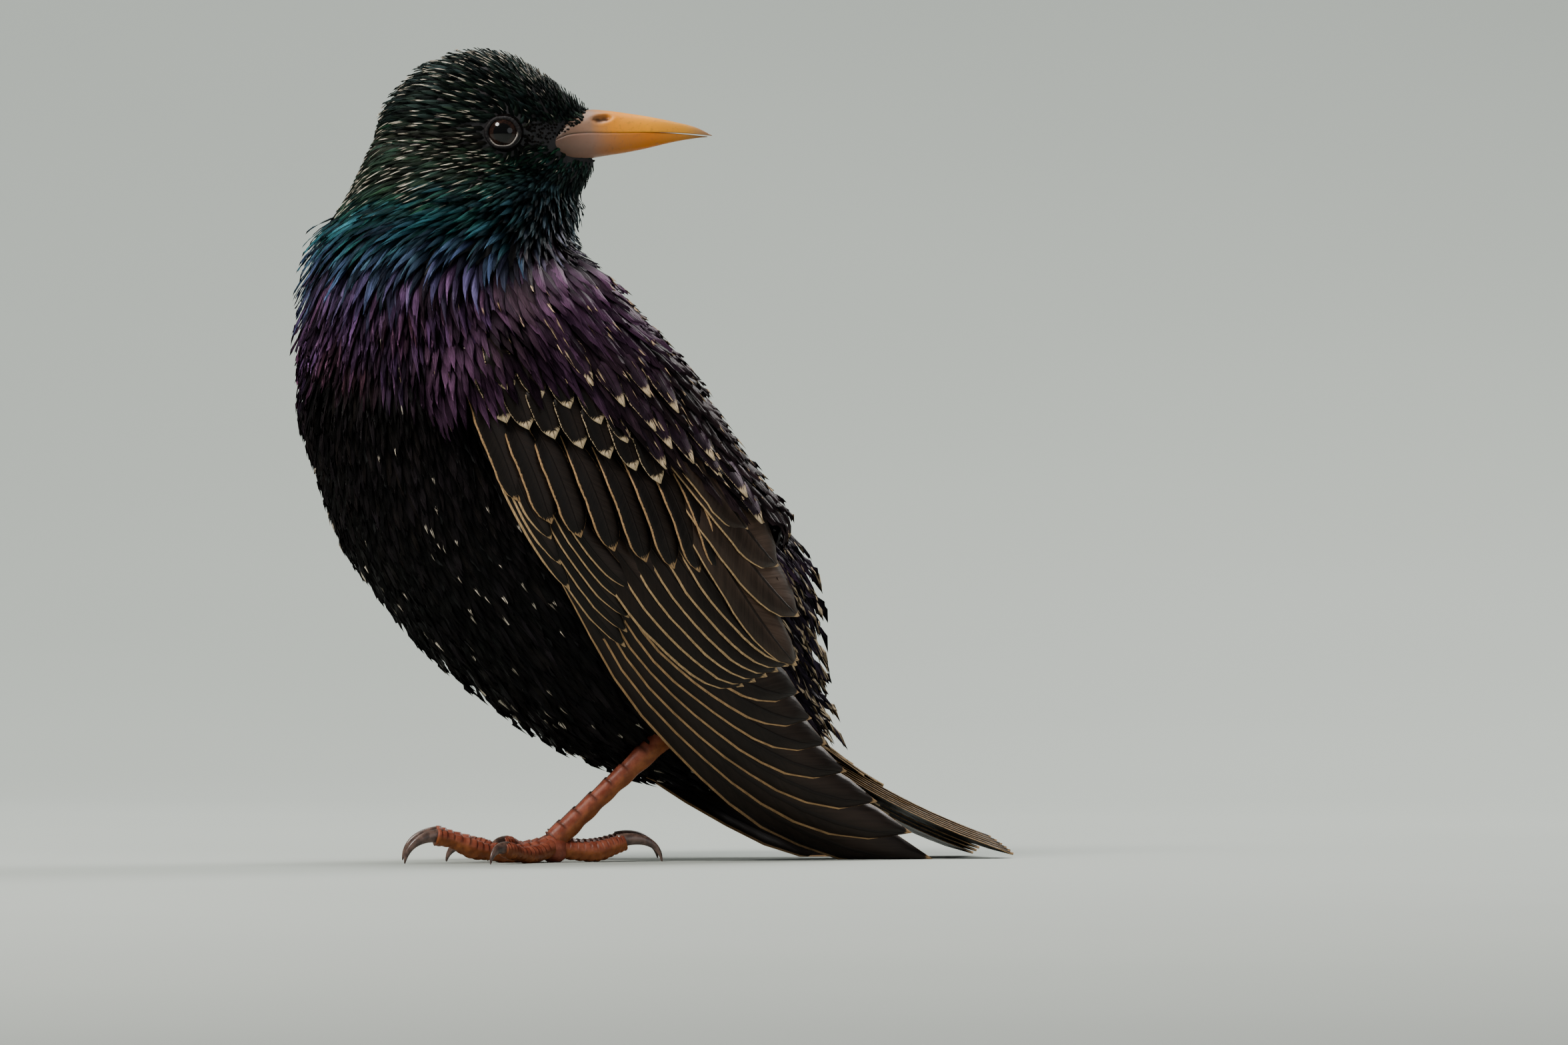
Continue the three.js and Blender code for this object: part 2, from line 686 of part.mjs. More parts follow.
let upperBill = mandible(true);
for (const side of [-1, 1]) {
  const turn = new THREE.Matrix4().makeBasis(HEAD_FORWARD, HEAD_ACROSS, new THREE.Vector3(0, 0, 1));
  const size = new THREE.Vector3(NOSTRIL.long, NOSTRIL.deep, NOSTRIL.high);
  const at = headPoint(NOSTRIL.forward, NOSTRIL.up, side * NOSTRIL.out);
  upperBill = upperBill.subtract(ball(1, at, 10, size, turn));
}
addNode("bill_upper", upperBill, "bill");
addNode("bill_lower", mandible(false), "bill");

// Wings
const leftCore = wingCore(0, 0);
const leftRecess = wingCore(GAP, 8);
const flip = new THREE.Matrix4().makeScale(1, -1, 1);
const mirrored = (solid) => solid.transform(flip.elements);
const leftWing = joined([leftCore, ...wingVanes()]);
addNode("wing_left", leftWing, "flight");
addNode("wing_right", mirrored(leftWing), "flight");

// Legs and feet
function footPoint(along, heading, height, side) {
  const back = side > 0 ? RIGHT_FOOT_BACK : 0;
  const angle = heading * RAD * side;
  return new THREE.Vector3(
    FOOT.x + back - along * Math.cos(angle),
    side * LEG_OUT + along * Math.sin(angle),
    height,
  );
}

function legPoint(point, side) {
  return new THREE.Vector3(point.x + (side > 0 ? RIGHT_FOOT_BACK : 0), -side * point.y, point.z);
}

const ground = beyond(FLOOR, 0);
const sockets = [];
for (const [label, side] of [
  ["left", -1],
  ["right", 1],
]) {
  const ankle = legPoint(ANKLE, side);
  const foot = legPoint(FOOT, side);
  const shankPath = SHANK.map(([t]) => ankle.clone().lerp(foot, t));
  const shankRadii = SHANK.map((station) => station[1]);
  const shank = limb(shankPath, shankRadii, 12);
  const shankRoom = limb(shankPath, shankRadii, 12, GAP);
  sockets.push(shankRoom);
  const toes = TOES.map((toe) => {
    const points = toe.joints.map(([along, height]) => footPoint(along, toe.heading, height, side));
    const radii = toe.joints.map((joint) => joint[2]);
    return { toe, solid: limb(points, radii, 8), grown: limb(points, radii, 8, GAP) };
  });
  const pads = joined([ball(3.1, foot.clone().setZ(2.7), 10), ...toes.map((t) => t.solid)]);
  addNode(`tarsus_${label}`, shank, "leg");
  addNode(`foot_${label}`, pads.subtract(shankRoom).intersect(ground), "leg");
  for (const { toe, grown } of toes) {
    const [lastAlong, lastHeight] = toe.joints.at(-1);
    const [reach, rise] = toe.claw;
    const steps = 5;
    const path = [];
    const radii = [];
    for (let i = 0; i <= steps; i++) {
      const u = i / steps;
      const height = (lastHeight + 0.2) * (1 - u) + rise * 4 * u * (1 - u) * 0.62;
      const along = lastAlong - 0.6 + reach * Math.sin((u * Math.PI) / 2.15);
      path.push(footPoint(along, toe.heading, height, side));
      radii.push(1.25 * (1 - u) ** 0.8 + 0.22);
    }
    const claw = limb(path, radii, 6).subtract(grown).intersect(ground);
    addNode(`claw_${label}_${toe.name}`, claw, "claw");
  }
}

// Torso and tail
let torso = plumage.subtract(belowNeck).intersect(beforeTail);
for (const room of [leftRecess, mirrored(leftRecess), ...sockets]) torso = torso.subtract(room);
addNode("torso", torso, "plumage");
const rump = plumage.subtract(afterTail);
addNode("tail", joined([rump, ...tailVanes()]).intersect(ground), "flight");

// The origin is on the floor, under the middle of the bird's box
const box = new THREE.Box3().setFromObject(bird);
const centre = box.getCenter(new THREE.Vector3());
bird.position.set(-centre.x, -centre.y, -box.min.z);

export default bird;
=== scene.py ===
import math
from types import SimpleNamespace

import bpy
import numpy as np
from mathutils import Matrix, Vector
from mathutils.bvhtree import BVHTree
from mathutils.kdtree import KDTree


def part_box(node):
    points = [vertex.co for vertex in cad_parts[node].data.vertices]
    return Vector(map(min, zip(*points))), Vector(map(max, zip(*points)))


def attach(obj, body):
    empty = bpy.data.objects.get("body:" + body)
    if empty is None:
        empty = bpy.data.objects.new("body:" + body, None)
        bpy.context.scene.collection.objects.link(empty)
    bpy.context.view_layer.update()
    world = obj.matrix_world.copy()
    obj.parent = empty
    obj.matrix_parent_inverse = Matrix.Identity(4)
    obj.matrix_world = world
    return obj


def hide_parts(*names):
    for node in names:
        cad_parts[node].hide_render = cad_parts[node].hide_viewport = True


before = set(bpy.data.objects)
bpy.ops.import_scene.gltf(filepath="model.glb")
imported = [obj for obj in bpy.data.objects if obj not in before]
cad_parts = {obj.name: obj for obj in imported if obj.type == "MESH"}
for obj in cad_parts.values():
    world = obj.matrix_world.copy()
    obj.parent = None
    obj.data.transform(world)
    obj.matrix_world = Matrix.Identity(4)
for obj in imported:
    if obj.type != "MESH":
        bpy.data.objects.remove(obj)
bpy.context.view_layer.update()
MM = 0.001
RAD = math.pi / 180
TURN = 2 * math.pi
RNG = np.random.default_rng(11)

# The part's own sizes, in millimetres, in the frame it is drawn in.
# Body sections: x, z, tilt in degrees, half depth, half width
TRUNK = [
    (-22.5, 147, 0, 18, 12.5),
    (-19.6, 136.8, 0, 25.5, 19),
    (-23, 127.1, 0, 27.5, 23.5),
    (-20.6, 115.3, 5, 32.6, 28),
    (-12.6, 96.6, 9, 41.5, 31.5),
    (-4, 77.8, 10, 44.9, 32.5),
    (4.5, 65, 12, 44.8, 32),
    (16.9, 49.7, 17, 39.5, 28.5),
]
RUMP = [(29, 35.5, 24, 30, 21.5), (38.5, 24.5, 30, 19, 14), (45.5, 14.5, 36, 11, 9.5), (50.5, 7, 40, 5.5, 6)]
WING_TAPER = [
    (30, 34, 26, 32, 24),
    (39.5, 22, 33, 21, 19.5),
    (48, 8.5, 38, 15, 16.5),
    (60, -12, 40, 12, 14),
    (72, -30, 40, 12, 13),
]
BODY = np.array(TRUNK + RUMP, float)
MANTLE = np.array(TRUNK + WING_TAPER, float)
BEND_START = (14.6, 54.5)
BEND_DIP = 49.2 * RAD
BEND_CURVATURE = 0.0068
HEAD_TURN = 20 * RAD
HEAD_AT = np.array([-11.5, -2.5, 149.4])
FORWARD = np.array([math.cos(HEAD_TURN), -math.sin(HEAD_TURN), 0])
ACROSS = np.array([math.sin(HEAD_TURN), math.cos(HEAD_TURN), 0])
UP = np.array([0.0, 0.0, 1.0])
MIRROR = np.array([1, -1, 1])
# Head sections: forward, top, bottom, half width
SKULL = np.array([
    (-25.5, 1, -7, 5),
    (-21.5, 8.5, -14, 9.6),
    (-15, 14.4, -17, 12.2),
    (-8, 17, -18, 12.8),
    (0, 17.2, -16.5, 11.4),
    (7, 13.8, -13, 9.1),
    (12, 10.4, -10.4, 5.8),
    (15.5, 7.7, -8, 4.1),
    (18.4, 5.2, -5.4, 2.2),
])
BEARD = np.array([
    (2, -7, -17.5, 9.5),
    (7, -6, -17.5, 8.8),
    (11.5, -5.6, -16.5, 7.4),
    (15, -5.3, -14.3, 5.6),
    (18, -5, -10, 3.7),
    (19.8, -4.8, -6.6, 1.6),
])
EYE_RADIUS = 4.4
EYE_OUT = 7.6
LID_RADIUS = 3.15
# Bill sections: forward, culmen, gape line, keel, half width
BILL = np.array([
    (9, -0.6, -2.3, -5, 5.2),
    (13, 3.2, -0.4, -5.8, 4.9),
    (17, 4.9, 0.1, -5.2, 4.2),
    (21, 4.8, 0.1, -4.5, 3.5),
    (25.5, 4.2, 0.15, -3.8, 2.8),
    (30, 3.5, 0.25, -2.95, 2.1),
    (35, 2.5, 0.2, -1.95, 1.4),
    (39.5, 1.35, -0.1, -1.15, 0.85),
    (42.8, -0.3, -0.45, -0.65, 0.12),
])
LOWER_BILL_END = 41.8
NOSTRIL = (20.2, 3.05)
WRIST = (-21.8, 90)
WING_DIP = 51.5 * RAD
TAIL_BASE = (38.8, 31.5)
TAIL_DIP = 54.5 * RAD
LEG_OUT = 13
RIGHT_FOOT_BACK = 9.4
ANKLE = np.array([20.4, -13, 26.3])
FOOT = np.array([-4.2, -13, 4.4])
# How deep the feathers lie over the skin, and how close they and the soles come to the floor
COAT = 2.6
HEAD_COAT = 1.5
BEARD_COAT = 2.2
FEATHER_GAP = 0.05
SOLE_GAP = 0.02


def head_point(f, u, a):
    """A point by how far forward, up and across it lies from the head's middle."""
    f, u, a = np.broadcast_arrays(*(np.asarray(k, float)[..., None] for k in (f, u, a)))
    return HEAD_AT + FORWARD * f + UP * u + ACROSS * a


def head_frame(p):
    """How far forward, up and across points lie from the head's middle."""
    rel = p - HEAD_AT
    return rel @ FORWARD, rel @ UP, rel @ ACROSS


# Where the part's own frame lies in the row frame, read off the eye's box
low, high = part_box("eye_right")
SHIFT = (np.array(low) + np.array(high)) / 2 / MM - head_point(0, 0, -EYE_OUT)

# Curves and surfaces


def unit(v):
    """The vectors of v at length 1."""
    return v / np.maximum(np.linalg.norm(v, axis=-1, keepdims=True), 1e-9)


def level(v, normal):
    """The part of v that lies along the surface."""
    return v - normal * np.sum(v * normal, -1, keepdims=True)


def ramp(x, lo, hi):
    """0 at lo and 1 at hi, smooth between them; lo may be the higher of the two."""
    t = np.clip((x - lo) / (hi - lo), 0, 1)
    return t * t * (3 - 2 * t)


def circle(count):
    """Even angles round a full turn."""
    return np.arange(count) * TURN / count


def along(sections, v):
    """Smooth interpolation of a table of sections at v."""
    last = len(sections) - 1
    v = np.clip(v, 0, last)
    i = np.clip(np.floor(v).astype(int), 0, last - 1)
    t = (v - i)[..., None]
    a, b, c, d = (sections[np.clip(i + k, 0, last)] for k in (-1, 0, 1, 2))
    return 0.5 * (2 * b + (c - a) * t + (2 * a - 5 * b + 4 * c - d) * t**2 + (3 * b - a - 3 * c + d) * t**3)


def bend(p):
    """The rear of the bird curves up along the ground."""
    cos, sin, k = math.cos(BEND_DIP), math.sin(BEND_DIP), BEND_CURVATURE
    x, z = p[..., 0] - BEND_START[0], p[..., 2] - BEND_START[1]
    s = x * cos - z * sin
    n = x * sin + z * cos
    f = np.sin(k * s) / k - n * np.sin(k * s)
    u = (1 - np.cos(k * s)) / k + n * np.cos(k * s)
    out = p.copy()
    out[..., 0] = np.where(s > 0, BEND_START[0] + f * cos + u * sin, p[..., 0])
    out[..., 2] = np.where(s > 0, BEND_START[1] - f * sin + u * cos, p[..., 2])
    return out


def body_point(v, angle, grow=0.0):
    x, z, tilt, deep, wide = np.moveaxis(along(BODY, v), -1, 0)
    q = (deep + grow) * np.cos(angle)
    y = (wide + grow) * np.sin(angle)
    return bend(np.stack([x + q * np.cos(tilt * RAD), y, z + q * np.sin(tilt * RAD)], -1))


def mantle_point(x, z, lift):
    """The mantle's surface seen at x, z from the bird's left, raised by lift."""
    lo, hi = np.zeros_like(x), np.full_like(x, len(MANTLE) - 1.0)
    for _ in range(36):
        mid = (lo + hi) / 2
        cx, cz, tilt, _deep, _wide = np.moveaxis(along(MANTLE, mid), -1, 0)
        past = (x - cx) * np.sin(tilt * RAD) - (z - cz) * np.cos(tilt * RAD) > 0
        lo, hi = np.where(past, mid, lo), np.where(past, hi, mid)
    cx, cz, tilt, deep, wide = np.moveaxis(along(MANTLE, lo), -1, 0)
    ct, st = np.cos(tilt * RAD), np.sin(tilt * RAD)
    cos = np.clip(((x - cx) * ct + (z - cz) * st) / deep, -0.97, 0.97)
    sin = np.sqrt(1 - cos**2)
    n = np.stack([cos / deep * ct, -sin / wide, cos / deep * st], -1)
    n /= np.linalg.norm(n, axis=-1, keepdims=True)
    return np.stack([x, -wide * sin, z], -1) + n * lift[..., None]


def wing_point(s, t, lift):
    """A place on the folded left wing: s from the wrist to the tips, t up across it."""
    x = WRIST[0] + s * math.cos(WING_DIP) + t * math.sin(WING_DIP)
    z = WRIST[1] - s * math.sin(WING_DIP) + t * math.cos(WING_DIP)
    return bend(mantle_point(x, z, lift))


def tail_point(s, t, lift):
    """A place over the tail: s from its base to its tip, t across it."""
    x = TAIL_BASE[0] + s * math.cos(TAIL_DIP) + lift * math.sin(TAIL_DIP)
    z = TAIL_BASE[1] - s * math.sin(TAIL_DIP) + lift * math.cos(TAIL_DIP)
    return bend(np.stack([x, t + 0 * s, z], -1))


# Meshes


def grid_faces(count, rows, cols, closed=False):
    """Quads of count grids of rows by cols points; closed joins the last column to the first."""
    wrap = cols if closed else cols - 1
    i, j = np.meshgrid(np.arange(rows - 1), np.arange(wrap), indexing="ij")
    k = (j + 1) % cols
    one = np.stack([i * cols + j, (i + 1) * cols + j, (i + 1) * cols + k, i * cols + k], -1).reshape(-1, 4)
    return (one[None] + (np.arange(count) * rows * cols)[:, None, None]).reshape(-1, 4)


def tube_faces(rows, cols, step=-1):
    """Quads of a closed tube and its two flat ends; step is 1 or -1 for which way they face."""
    ring = np.arange(cols)
    return grid_faces(1, rows, cols, True)[:, ::step], [ring[::step], (rows - 1) * cols + ring[::-step]]


def joined(parts):
    """Points, faces and end caps of several parts as one. Each part begins with these three."""
    starts = np.cumsum([0] + [len(part[0]) for part in parts[:-1]])
    faces = np.concatenate([part[1] + start for part, start in zip(parts, starts)])
    caps = [cap + start for part, start in zip(parts, starts) for cap in part[2]]
    return np.concatenate([part[0] for part in parts]), faces, caps


def tube(points, side, up, radii_side, radii_up):
    """Rings round a path: points (n, 3) with side and up vectors, and radii (n, around)."""
    a = circle(radii_side.shape[1])
    aside = side[:, None] * radii_side[:, :, None] * np.cos(a)[None, :, None]
    return points[:, None] + aside + up[:, None] * radii_up[:, :, None] * np.sin(a)[None, :, None]


def add_mesh(name, points, faces, material, maps=None, colours=None, values=None, caps=()):
    """A mesh in the row frame from points in the drawing frame, quads, and per-point maps and attributes."""
    me = bpy.data.meshes.new(name)
    co = (np.asarray(points, float).reshape(-1, 3) + SHIFT) * MM
    me.from_pydata(co, [], [*faces.tolist(), *caps], shade_flat=False)
    corners = np.concatenate([faces.ravel(), *caps])
    for key, uv in (maps or {}).items():
        layer = me.uv_layers.new(name=key)
        layer.data.foreach_set("uv", np.asarray(uv, np.float32).reshape(-1, 2)[corners].ravel())
    for kind, field, layers in (("FLOAT_COLOR", "color", colours), ("FLOAT", "value", values)):
        for key, numbers in (layers or {}).items():
            layer = me.attributes.new(key, kind, "POINT")
            layer.data.foreach_set(field, np.asarray(numbers, np.float32).ravel())
    me.validate()
    me.materials.append(material)
    o = bpy.data.objects.new(name, me)
    bpy.context.scene.collection.objects.link(o)
    return o


def keep(o, slot, *nodes):
    """Rides an object on the body and hides the solids that it replaces; slot is not used."""
    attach(o, "root")
    if nodes:
        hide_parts(*nodes)
    return o


# Materials


class Nodes:
    """A few short words for building a node tree."""

    def __init__(self, name):
        self.material = bpy.data.materials.new(name)
        self.material.use_nodes = True
        self.tree = self.material.node_tree
        self.tree.nodes.clear()
        self.out = self.tree.nodes.new("ShaderNodeOutputMaterial")
        self.place = self.node("TexCoord").outputs["Object"]

    def node(self, kind, inputs=None, **props):
        n = self.tree.nodes.new("ShaderNode" + kind)
        for k, v in props.items():
            setattr(n, k, v)
        for k, v in (inputs or {}).items():
            self.put(n.inputs[k], v)
        return n

    def put(self, socket, value):
        if isinstance(value, bpy.types.NodeSocket):
            self.tree.links.new(value, socket)
        elif isinstance(value, tuple) and len(value) == 3 and socket.type == "RGBA":
            socket.default_value = (*value, 1)
        else:
            socket.default_value = value

    def math(self, op, *terms):
        return self.node("Math", dict(enumerate(terms)), operation=op).outputs[0]

    def times(self, a, b):
        return self.math("MULTIPLY", a, b)

    def plus(self, a, b):
        return self.math("ADD", a, b)

    def minus(self, a, b):
        return self.math("SUBTRACT", a, b)

    def times_plus(self, a, b, c):
        return self.math("MULTIPLY_ADD", a, b, c)

    def smooth(self, x, lo, hi, a=0.0, b=1.0):
        ends = {"Value": x, "From Min": lo, "From Max": hi, "To Min": a, "To Max": b}
        return self.node("MapRange", ends, interpolation_type="SMOOTHSTEP").outputs[0]

    def mix(self, fac, a, b, blend="MIX"):
        return self.node("Mix", {0: fac, 6: a, 7: b}, data_type="RGBA", blend_type=blend).outputs[2]

    def shaded(self, colour, value):
        grey = self.node("CombineXYZ", {"X": value, "Y": value, "Z": value}).outputs[0]
        return self.mix(1.0, colour, grey, "MULTIPLY")

    def noise(self, scale, detail=3.0, vector=None):
        inputs = {"Scale": scale, "Detail": detail, "Roughness": 0.55, "Vector": vector or self.place}
        return self.node("TexNoise", inputs).outputs["Fac"]

    def attribute(self, name):
        """A per-point colour's outputs, its fourth number under Alpha."""
        return self.node("Attribute", attribute_name=name).outputs

    def value(self, name):
        return self.attribute(name)["Fac"]

    def vane(self):
        return self.node("UVMap", uv_map="Vane").outputs["UV"]

    def vane_axes(self):
        return self.node("SeparateXYZ", {"Vector": self.vane()}).outputs

    def bump(self, height, distance, strength):
        inputs = {"Height": height, "Distance": distance, "Strength": strength}
        return self.node("Bump", inputs).outputs["Normal"]

    def principled(self, **values):
        n = self.node("BsdfPrincipled", {k.replace("_", " "): v for k, v in values.items()})
        self.tree.links.new(n.outputs[0], self.out.inputs["Surface"])
        return self.material


def barb_streaks(t, across, length, slope, fine):
    """Fine uneven lines that run out from the shaft and forward, as barbs do, different on each feather."""
    seed = t.value("seed")
    line = t.times_plus(across, -slope, length)
    at = {
        "X": t.times_plus(seed, 50.0, t.times(line, fine)),
        "Y": t.times(across, 1.5),
        "Z": t.times(seed, 9.0),
    }
    return t.noise(1.0, 3, t.node("CombineXYZ", at).outputs[0])


def plumage_material():
    """Small feathers: tint holds colour and gloss, mark the tip spot; the Vane map runs across and along."""
    t = Nodes("plumage")
    uv = t.vane_axes()
    across = t.math("ABSOLUTE", t.times_plus(uv[0], 2.0, -1.0))
    length = uv[1]
    tint, mark, spot_wide = t.attribute("tint"), t.attribute("mark"), t.value("spot")
    streak = barb_streaks(t, across, length, 0.55, 26.0)
    uneven = t.minus(streak, 0.5)
    start = t.minus(1.0, mark["Alpha"])
    inside = t.math("DIVIDE", t.minus(length, start), t.math("MAXIMUM", mark["Alpha"], 0.001))
    reach = t.times(spot_wide, t.math("POWER", t.math("MAXIMUM", inside, 0.0), 0.6))
    side_edge = t.times_plus(uneven, 0.55, t.minus(reach, across))
    front_edge = t.times_plus(uneven, 0.5, inside)
    mask = t.times(t.smooth(side_edge, 0.0, 0.14), t.smooth(front_edge, 0.0, 0.2))
    # the shaft's line stays dark in a broad spot, which then reads as two strokes
    line = t.times(t.smooth(across, 0.22, 0.06), t.smooth(spot_wide, 0.5, 0.6))
    mask = t.times(mask, t.minus(1.0, line))
    # darker toward each feather's root: painted shade under the feathers that lie over it; the streaks and
    # the noise below are the feathers' own tone
    shade = t.times(t.smooth(streak, 0.3, 0.7, 0.35, 1.55), t.smooth(length, 0.05, 0.7, 0.25, 1.0))
    shade = t.times(shade, t.smooth(t.noise(150, 2), 0.3, 0.7, 0.7, 1.3))
    ridge = t.smooth(across, 0.12, 0.0, 0.0, 0.6)
    return t.principled(
        Base_Color=t.mix(mask, t.shaded(tint["Color"], shade), mark["Color"]),
        Metallic=t.times(tint["Alpha"], t.minus(1.0, mask)),
        Roughness=t.plus(t.smooth(streak, 0.3, 0.7, 0.34, 0.5), t.times(mask, 0.2)),
        Specular_IOR_Level=0.09,
        Normal=t.bump(t.plus(streak, ridge), 0.00012, 0.8),
    )


def flight_material():
    """Large vanes: tint is the ground colour, mark the pale edge with its width, and spot the tip fringe."""
    t = Nodes("flight_feather")
    uv = t.vane_axes()
    across, length = uv[0], uv[1]
    tint, mark, tip = t.attribute("tint"), t.attribute("mark"), t.value("spot")
    off = t.math("ABSOLUTE", t.minus(across, t.value("shaft")))
    streak = barb_streaks(t, off, length, 0.25, 70.0)
    uneven = t.times(t.minus(streak, 0.5), t.value("rag"))
    edge = mark["Alpha"]
    ragged = t.plus(across, uneven)
    low_edge = t.smooth(ragged, t.times(edge, 1.15), t.times(edge, 0.8))
    high_edge = t.smooth(ragged, t.times_plus(edge, -0.4, 1.0), 1.0, 0.0, 0.55)
    tip_from, tip_full = t.times_plus(tip, -1.3, 1.0), t.times_plus(tip, -0.8, 1.0)
    tip_edge = t.smooth(t.plus(length, uneven), tip_from, tip_full)
    pale = t.math("MAXIMUM", t.math("MAXIMUM", low_edge, high_edge), tip_edge)
    # a brighter middle on each vane is painted sheen; the darker band it leaves inside the pale edge and the
    # tip is the feather's own
    painted_sheen = t.times(t.smooth(across, 0.25, 0.55), t.smooth(across, 0.98, 0.7))
    painted_sheen = t.times(painted_sheen, t.smooth(length, 0.98, 0.8))
    shade = t.times_plus(painted_sheen, 1.1, t.smooth(t.noise(70, 3), 0.3, 0.7, 0.5, 0.8))
    shade = t.times(shade, t.smooth(streak, 0.3, 0.7, 0.8, 1.2))
    pale_tone = t.shaded(mark["Color"], t.smooth(streak, 0.3, 0.7, 0.65, 1.15))
    shaft = t.smooth(off, 0.04, 0.015)
    colour = t.mix(pale, t.shaded(tint["Color"], shade), pale_tone)
    return t.principled(
        Base_Color=t.mix(t.times(shaft, 0.8), colour, (0.010, 0.007, 0.006)),
        Metallic=t.times(tint["Alpha"], t.minus(1.0, pale)),
        Roughness=t.smooth(streak, 0.3, 0.7, 0.36, 0.5),
        Specular_IOR_Level=0.16,
        Normal=t.bump(t.times_plus(shaft, 1.4, t.times(streak, 0.7)), 0.0001, 0.6),
    )


def skin_material():
    t = Nodes("skin")
    colour = t.mix(t.smooth(t.noise(300, 4), 0.35, 0.65), (0.004, 0.004, 0.005), (0.012, 0.010, 0.012))
    return t.principled(Base_Color=colour, Roughness=0.75, Normal=t.bump(t.noise(1500, 3), 0.0002, 0.6))


def lid_material():
    """Bare skin round the eye, dark, with a pale rim below where the pale attribute is high."""
    t = Nodes("lid_skin")
    n = t.noise(2500, 3)
    colour = t.mix(t.smooth(n, 0.4, 0.62), (0.004, 0.003, 0.004), (0.011, 0.009, 0.009))
    colour = t.mix(t.value("pale"), colour, (0.34, 0.31, 0.28))
    normal = t.bump(n, 0.00015, 0.8)
    return t.principled(Base_Color=colour, Roughness=0.6, Specular_IOR_Level=0.2, Normal=normal)


def eye_material():
    """Dark brown iris and black pupil by the angle off the eye's own axis, held in the look attribute."""
    t = Nodes("eye")
    look = t.value("look")
    iris = t.mix(t.smooth(t.noise(1400, 4), 0.35, 0.65), (0.008, 0.004, 0.003), (0.020, 0.009, 0.006))
    colour = t.mix(t.smooth(look, 0.62, 0.80), iris, (0.004, 0.003, 0.003))
    colour = t.mix(t.smooth(look, 0.46, 0.40), colour, (0.002, 0.002, 0.002))
    return t.principled(
        Base_Color=colour,
        Roughness=0.07,
        Specular_IOR_Level=0.25,
        Coat_Weight=0.1,
        Coat_Roughness=0.03,
    )


# Horn colours from the bill's base to its tip: place along the bill, red, green, blue
HORN = {
    "bill_upper": [
        (0.0, 0.08, 0.05, 0.04),
        (0.18, 0.26, 0.15, 0.10),
        (0.34, 0.72, 0.25, 0.01),
        (0.55, 0.84, 0.31, 0.001),
        (0.80, 0.56, 0.24, 0.02),
        (1.0, 0.20, 0.13, 0.09),
    ],
    "bill_lower": [
        (0.0, 0.12, 0.07, 0.055),
        (0.20, 0.27, 0.15, 0.11),
        (0.38, 0.50, 0.17, 0.03),
        (0.58, 0.62, 0.17, 0.003),
        (0.82, 0.52, 0.20, 0.02),
        (1.0, 0.24, 0.14, 0.08),
    ],
}


def bill_material(name):
    """Horn: pinkish grey base, orange-yellow middle and greyer tip, by the bill map's run along the bill."""
    t = Nodes(name + "_horn")
    along_bill = t.plus(t.vane_axes()[0], t.times(t.minus(t.noise(220, 3), 0.5), 0.10))
    ramp_node = t.node("ValToRGB", {"Fac": along_bill})
    stops = ramp_node.color_ramp.elements
    while len(stops) < len(HORN[name]):
        stops.new(0.5)
    for stop, (at, *tone) in zip(stops, HORN[name]):
        stop.position = at
        stop.color = (*tone, 1)
    stretched = t.node("VectorMath", {0: t.vane(), 1: (6, 70, 1)}, operation="MULTIPLY").outputs[0]
    streak = t.noise(9, 4, stretched)
    colour = t.mix(t.smooth(streak, 0.45, 0.75, 0.0, 0.35), ramp_node.outputs["Color"], (0.30, 0.16, 0.07))
    colour = t.mix(t.smooth(t.noise(1300, 3), 0.55, 0.75, 0.0, 0.3), colour, (0.14, 0.09, 0.06))
    # the nostril's slit is darkened: painted shade in its opening
    colour = t.mix(t.value("groove"), colour, (0.035, 0.018, 0.012))
    height = t.plus(t.times(streak, 0.6), t.times(t.noise(2500, 3), 0.4))
    return t.principled(
        Base_Color=colour,
        Roughness=t.smooth(streak, 0.3, 0.7, 0.28, 0.42),
        Specular_IOR_Level=0.25,
        Subsurface_Weight=0.08,
        Subsurface_Scale=0.001,
        Normal=t.bump(height, 0.00006, 0.6),
    )


def leg_material():
    """Reddish scutes in front, orange-brown behind, darker in the joints held in the groove attribute."""
    t = Nodes("leg_skin")
    groove = t.value("groove")
    n = t.noise(500, 4)
    blotch = t.smooth(n, 0.35, 0.7)
    red = t.mix(blotch, (0.17, 0.038, 0.020), (0.28, 0.080, 0.045))
    brown = t.mix(blotch, (0.17, 0.045, 0.012), (0.27, 0.085, 0.025))
    colour = t.mix(t.smooth(t.value("front"), -0.3, 0.5), brown, red)
    colour = t.mix(t.times(groove, 0.75), colour, (0.05, 0.02, 0.015))
    colour = t.mix(t.smooth(t.noise(1600, 3), 0.55, 0.75, 0.0, 0.45), colour, (0.10, 0.06, 0.045))
    height = t.plus(t.times(t.noise(2600, 3), 0.5), t.times(groove, -1.2))
    return t.principled(
        Base_Color=colour,
        Roughness=t.smooth(n, 0.3, 0.7, 0.34, 0.5),
        Specular_IOR_Level=0.2,
        Subsurface_Weight=0.05,
        Subsurface_Scale=0.001,
        Normal=t.bump(height, 0.00012, 0.8),
    )


def claw_material():
    t = Nodes("claw_horn")
    n = t.noise(700, 4)
    colour = t.mix(t.smooth(n, 0.35, 0.65), (0.055, 0.032, 0.026), (0.15, 0.09, 0.07))
    return t.principled(Base_Color=colour, Roughness=0.32, Normal=t.bump(n, 0.00008, 0.5))


PLUMAGE = plumage_material()
FLIGHT = flight_material()
SKIN = skin_material()
LID = lid_material()
EYE = eye_material()
LEG = leg_material()
CLAW = claw_material()

# Camera, floor and light. The photograph looks square at the side of the turned head

CAMERA_FAR = 3000.0
FRAME_WIDTH = 322.6
FRAME_CENTRE = (47.6, 69.6)
SENSOR = 36


def studio_place(right, inward, up):
    """A place by how far right, away and up it lies, as the camera sees it."""
    return FORWARD * right + ACROSS * inward + UP * up


